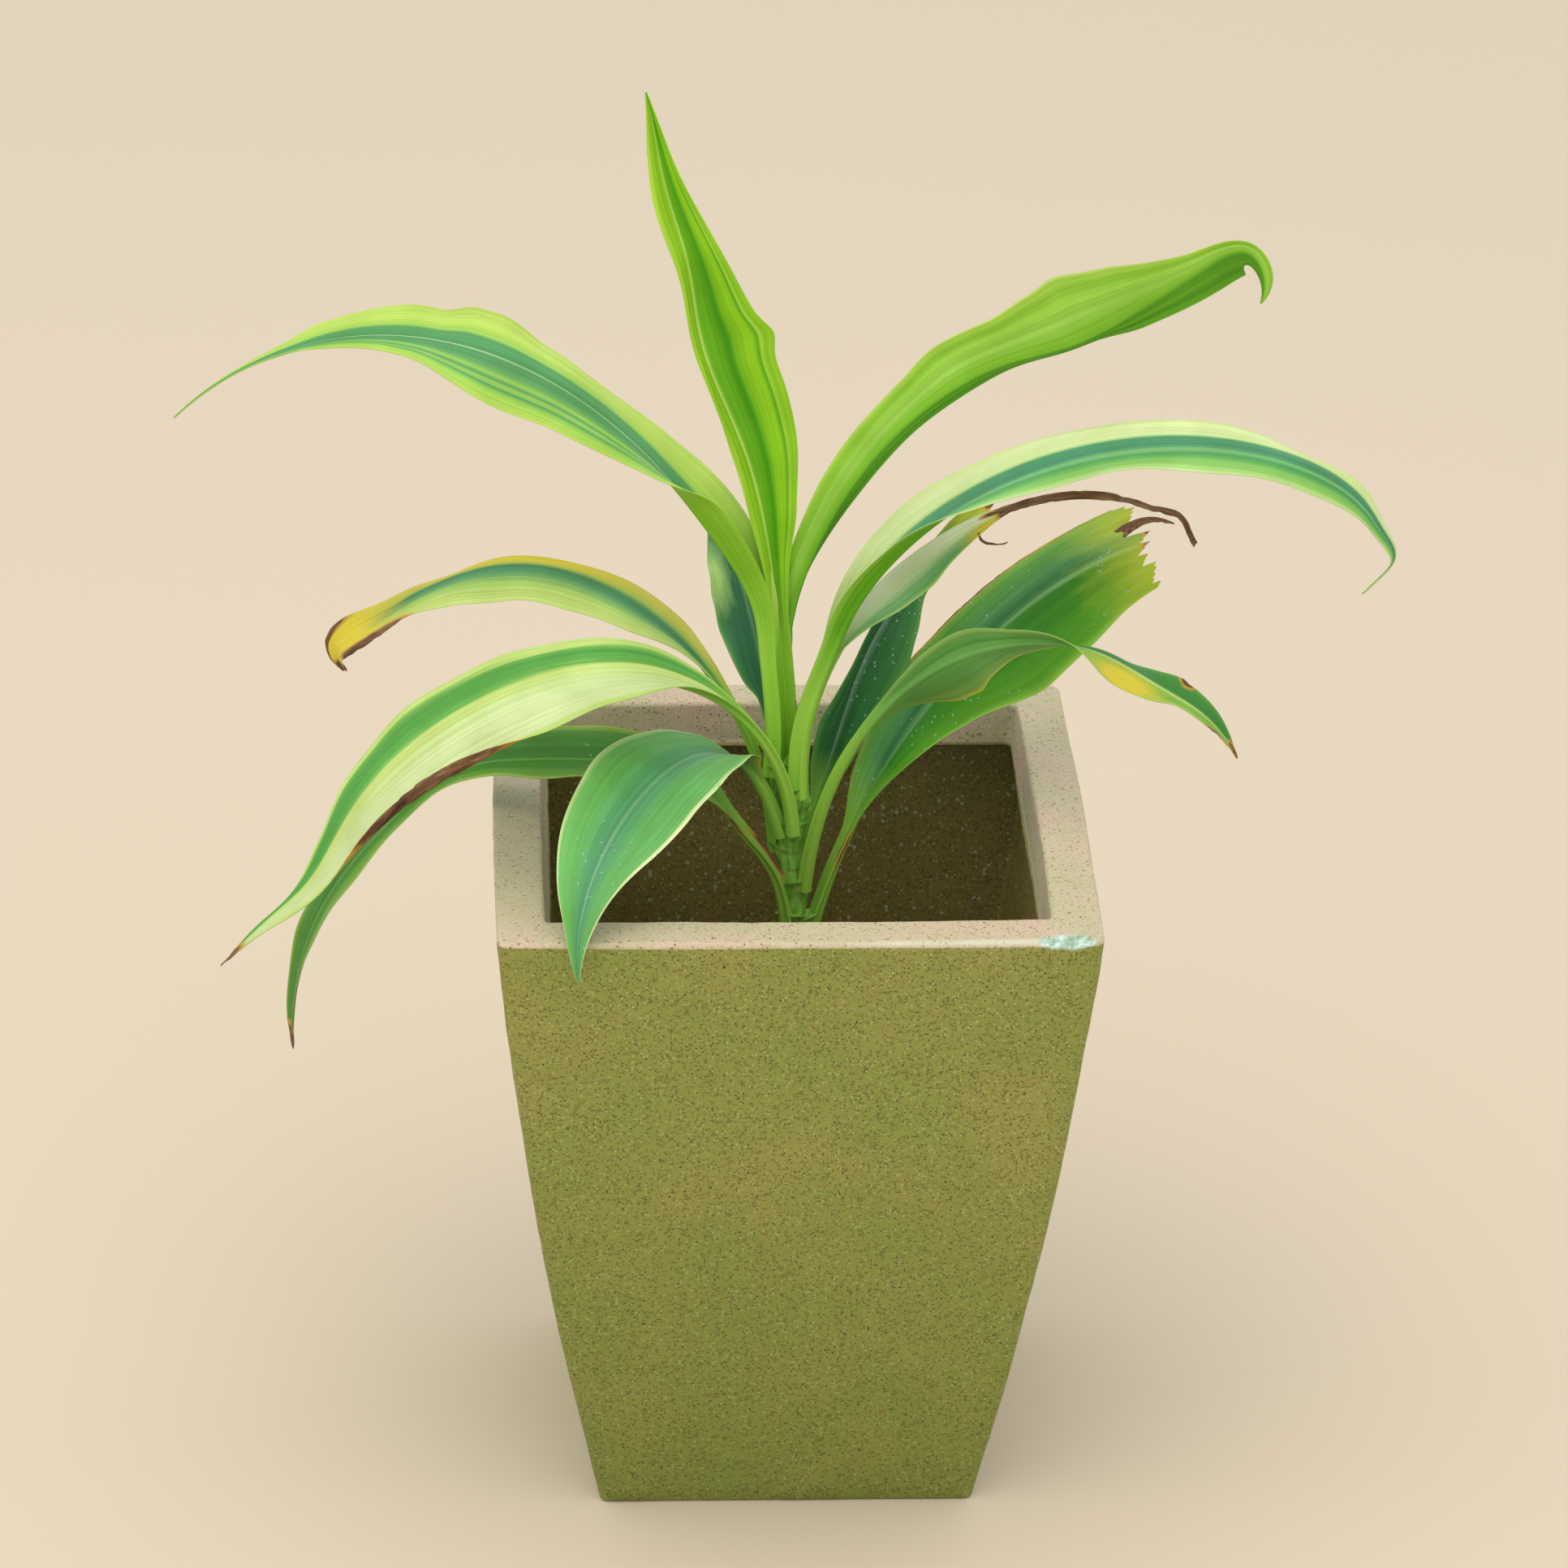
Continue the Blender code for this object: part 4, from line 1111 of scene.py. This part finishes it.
# %% The left-hand leaves
grow("leaf_broad_left", "leaf_cream", Leaf(
    heading=197, foot=(2, -8.4), arch=((0, 292), (12, 418), (164, 410), (206, 317), (256, 268)), bow=7,
    bends=((0.82, -4, -5, 0.09),), blade_from=0.14,
    left=((0, 3.2), (0.12, 3.4), (0.18, 5), (0.25, 13), (0.3, 20), (0.4, 27), (0.5, 30), (0.6, 28),
          (0.7, 23), (0.8, 15), (0.9, 7), (1, TIP)),
    right=((0, 3.2), (0.12, 3.4), (0.18, 6), (0.25, 14), (0.3, 20), (0.4, 26.5), (0.5, 29.5), (0.6, 29),
           (0.7, 23.5), (0.78, 15), (0.84, 7.5), (0.9, 5), (1, TIP)),
    roll=((0, 10), (0.3, -7), (0.55, -12), (0.8, -2), (1, 8)),
    fold=((0, 40), (0.25, 28), (0.5, 10), (1, 9)), curls=((0.64, -1, 0.75, 200, 0.11),),
    dry=((0.64, -1.0, 0.13, 0.30, 0.95), (0.99, 0.0, 0.035, 1.5, 1.0))),
    face=((0.0, "#a4d04c"), (0.06, "#cce284"), (0.15, "#dae8ae"), (0.45, "#d8e8ac"), (0.62, "#d0e49a"),
          (0.70, "#d2e688"), (0.74, "#6cb454"), (0.86, "#57a64c"), (0.93, "#74b856"), (0.97, "#cae284"),
          (1.0, "#cfe690")),
    back=((0.0, "#a8cf5a"), (0.5, "#b4d470"), (1.0, "#8fc050")), stalk="#96cc4a", fray=0.26)

grow("leaf_curl_left", "leaf_striped", Leaf(
    heading=173, foot=(-6, -0.5), arch=((0, 280), (2, 372), (82, 453), (186, 390), (184, 356)),
    bends=((0.57, 0, 7, 0.2), (0.92, 9, 0, 0.07)),
    left=((0, 2.6), (0.2, 2.6), (0.27, 6), (0.4, 16), (0.5, 17), (0.6, 17), (0.7, 14.5), (0.78, 10),
          (0.88, 12), (0.95, 9), (1, 2)),
    right=((0, 2.6), (0.2, 2.6), (0.27, 6), (0.33, 9.5), (0.4, 10), (0.5, 8), (0.6, 7), (0.7, 5), (0.78, 5),
           (0.88, 8), (0.95, 6), (1, 2)),
    roll=((0, -10), (0.3, -16), (0.4, -26), (0.6, -27), (0.7, -12), (0.8, -30), (1, -40)),
    fold=((0, 42), (0.3, 22), (0.4, 6), (0.5, -10), (0.7, -14), (0.8, 10), (1, 25)),
    yellow=((0.56, 0.8, 0.16, 0.5, 0.9), (0.93, 0.0, 0.12, 2.0, 1.0)),
    dry=((0.99, 0.0, 0.025, 1.2, 1.0), (0.86, -1.0, 0.08, 0.35, 1.0), (0.93, 1.0, 0.06, 0.3, 0.9))),
    face=((0.0, "#cfe284"), (0.12, "#c8de80"), (0.28, "#b0d474"), (0.38, "#74ae70"), (0.46, "#569668"),
          (0.54, "#4f8e64"), (0.60, "#66a066"), (0.68, "#aec660"), (0.85, "#d8ce60"), (1.0, "#dcd068")),
    back=((0.0, "#a8c850"), (0.5, "#8fb848"), (1.0, "#b8c850")), stalk="#74ae40")

grow("leaf_hang_left", "leaf_green", Leaf(
    heading=172, foot=(0, -8.2), arch=((0, 248), (8, 338), (110, 359), (226, 288), (219, 172)),
    bends=((0.6, 0, 8, 0.10), (0.12, 6, 0, 0.08)),
    left=((0, 3.6), (0.18, 4), (0.25, 9), (0.32, 16), (0.4, 19), (0.5, 16), (0.6, 10.5), (0.66, 12.5),
          (0.75, 18), (0.82, 21), (0.9, 15), (1, 1)),
    right=((0, 3.6), (0.18, 4), (0.25, 9), (0.32, 16), (0.4, 19), (0.5, 18), (0.6, 16), (0.7, 15),
           (0.8, 13), (0.9, 9.5), (0.97, 7), (1, 1)),
    roll=((0, 0), (0.3, -12), (0.5, -16), (1, -20)),
    fold=((0, 40), (0.2, 23), (0.5, 16), (0.8, 16), (1, 10)),
    dry=((0.995, 0.0, 0.02, 2.0, 1.0), (0.10, 0.8, 0.05, 0.5, 0.7), (0.17, -0.8, 0.04, 0.4, 0.65))),
    face=((0.0, "#b4cc5a"), (0.07, "#78ae34"), (0.30, "#4c921a"), (0.48, "#40881c"), (0.51, "#74aa50"),
          (0.56, "#468630"), (0.75, "#508e3a"), (0.92, "#58963a"), (1.0, "#a8c464")),
    back=((0.0, "#6fa83c"), (0.5, "#5f9a34"), (1.0, "#74ac40")), stalk="#6ca43c", flecks=0.02)

grow("leaf_front_left", "leaf_green", Leaf(
    heading=236, foot=(-3.1, -5.4), arch=((0, 290), (14, 358), (66, 362), (152, 338), (160, 287)), bow=-13,
    blade_from=0.12,
    left=((0, 3.2), (0.12, 3.4), (0.17, 6), (0.22, 12), (0.3, 20), (0.4, 25), (0.5, 27.5), (0.6, 27.5),
          (0.7, 23), (0.8, 13), (0.9, 5.5), (1, TIP)),
    right=((0, 3.2), (0.12, 3.4), (0.17, 6), (0.22, 12), (0.3, 20), (0.4, 25), (0.5, 27.5), (0.6, 25.5),
           (0.7, 22), (0.8, 15), (0.9, 6), (1, TIP)),
    roll=((0, 0), (0.4, -4), (0.7, -11), (1, -18)), fold=((0, 40), (0.2, 22), (0.45, 10), (1, 12)),
    yellow=((0.20, -1.0, 0.05, 0.3, 0.7),)),
    face=((0.0, "#e2ebb6"), (0.025, "#c4e098"), (0.055, "#70b866"), (0.28, "#6cb466"), (0.40, "#62a870"),
          (0.46, "#569a70"), (0.49, "#76ae80"), (0.51, "#76ae80"), (0.535, "#4f9468"), (0.62, "#5ea66c"),
          (0.78, "#6cb860"), (0.96, "#78c066"), (1.0, "#d0eaa8")),
    back=((0.0, "#7fb864"), (0.5, "#6aa858"), (1.0, "#7fb864")), stalk="#7dbb48", flecks=0.03)

grow("leaf_rear", "leaf_teal", Leaf(
    heading=109, foot=(-4.2, 5.2), arch=((0, 304), (14, 355), (52, 388), (80, 410)), blade_from=0.14,
    left=((0, 3.2), (0.2, 3.4), (0.28, 6), (0.33, 12), (0.4, 17.5), (0.5, 20), (0.6, 19.5), (0.8, 13),
          (0.9, 8), (1, TIP)),
    right=((0, 3.2), (0.2, 3.4), (0.28, 6), (0.33, 11), (0.4, 15.5), (0.5, 18), (0.6, 18), (0.8, 13),
           (0.9, 8), (1, TIP)),
    roll=((0, 0), (0.5, 4), (1, 8)), fold=((0, 40), (0.5, 26), (1, 15)),
    yellow=((0.68, -0.85, 0.12, 0.5, 0.9),)),
    face=((0.0, "#7fb864"), (0.05, "#5a9c5c"), (0.15, "#438660"), (0.48, "#397658"), (0.51, "#7aa688"),
          (0.55, "#397658"), (0.90, "#428262"), (1.0, "#74ac6c")),
    back=((0.0, "#5f9a5a"), (0.5, "#4f8a5a"), (1.0, "#5f9a5a")), stalk="#5c9a4a", ripe="#b4d67c")
print("leaves in all:", len(LEAVES))

# %% [markdown]
# Two dry shreds hang from torn edges: a thin strand under the withered leaf, and a brown ribbon that
# stands on from the torn end of the broad leaf on the right. Each has the form of a very small leaf that
# is dry from end to end, so that only the brown of dry leaf shows.

# %% The dry shreds
SHREDS = {
    "shred_strand": Leaf(
        heading=-10, foot=(80, 12.5), arch=((0, 424.6), (4, 417), (12, 421)), dry_from=-1.0,
        left=((0, 0.6), (1, 0.2)), right=((0, 0.6), (1, 0.2)),
        roll=((0, 0), (1, 0)), fold=((0, 0), (1, 0))),
    "shred_ribbon": Leaf(
        heading=20, foot=(144, 61), arch=((0, 401.4), (13, 411), (27, 403)), dry_from=-1.0,
        left=((0, 2.6), (0.6, 1.4), (1, 0.4)), right=((0, 2.6), (0.6, 1.2), (1, 0.4)),
        roll=((0, 40), (1, 60)), fold=((0, 0), (1, 20))),
}
SHRED_ROWS, FIRST_SHRED_SEED = 40, 40

brown = ((0.0, "#6f4c30"), (1.0, "#6f4c30"))
shred_skin = leaf_skin("dry leaf shred", brown, brown)
for seed, (name, shred) in enumerate(SHREDS.items(), start=FIRST_SHRED_SEED):
    points, faces, pattern, fields = leaf_shell(shred, seed, SHRED_ROWS)
    place_piece(make_object(name, points * MM, faces, shred_skin, pattern, **fields), "leaf_cream")

# %% [markdown]
# A leaf doesn't stand on the stem but clasps it: its foot widens into a sheath that wraps the stem and
# stays as a collar when the leaf has gone. Each sheath is a short tube round the stem, whose radius grows
# upwards on the side where its leaf stands, so that the foot of the leaf sinks into it.

# %% The leaf sheaths
SHEATH_LENGTH, SHEATH_WALL, SHEATH_ROWS, SHEATH_POINTS = 16.0, 0.7, 12, 32
SHEATH_ABOVE, SHEATH_PAST, SHEATH_RISE, SHEATH_DIP = 3.0, 2.6, 4.0, 0.4
MOUTH_SHARE, MOUTH_DEEP, BROWN_EDGE = 0.6, 1.0, 0.35


def sheath(leaf):
    """A tube whose radius is stem + wall * sqrt(t) + lobe * t ** 1.6 * max(cos(a), 0) ** 1.5.

    t goes from its foot, 0, to its top, 1, and a is the angle from the leaf's side. A smaller ring just
    inside closes the top.
    """
    top = leaf.arch[0][1] + SHEATH_ABOVE
    t = np.linspace(0, 1, SHEATH_ROWS)[:, None]
    height = top - SHEATH_LENGTH * (1 - t)
    axis = np.interp(height, level, lean)
    round_stem = np.interp(height, level, stem_radius)
    away_x, away_y = leaf.foot[0] - float(axis[-1, 0]), leaf.foot[1]
    angle = np.linspace(0, 2 * np.pi, SHEATH_POINTS, endpoint=False)[None, :]
    towards = np.clip(np.cos(angle - math.atan2(away_y, away_x)), 0, 1) ** 1.5
    lobe = max(math.hypot(away_x, away_y) + SHEATH_PAST - float(round_stem[-1, 0]), 1.0)
    radius = round_stem + SHEATH_WALL * np.sqrt(t) + lobe * t**1.6 * towards
    rise = SHEATH_RISE * t * (towards - SHEATH_DIP)
    ring = np.stack([axis + radius * np.cos(angle), radius * np.sin(angle), height + rise], -1)
    small = MOUTH_SHARE * radius[-1:]
    inner = [axis[-1] + small * np.cos(angle), small * np.sin(angle), ring[-1:, :, 2] - MOUTH_DEEP]
    return np.concatenate([ring, np.stack(inner, -1)])


sheath_skin = stem_skin("leaf sheath", "#6fae38", "#8fc850", "#aad868")
dry_rim = np.zeros((SHEATH_ROWS + 1, 1))
dry_rim[-3:-1] = BROWN_EDGE
for name, leaf in LEAVES.items():
    collar = make_skin(name.replace("leaf", "sheath"), sheath(leaf), sheath_skin, scar=dry_rim)
    place_piece(collar, "stem_skin")
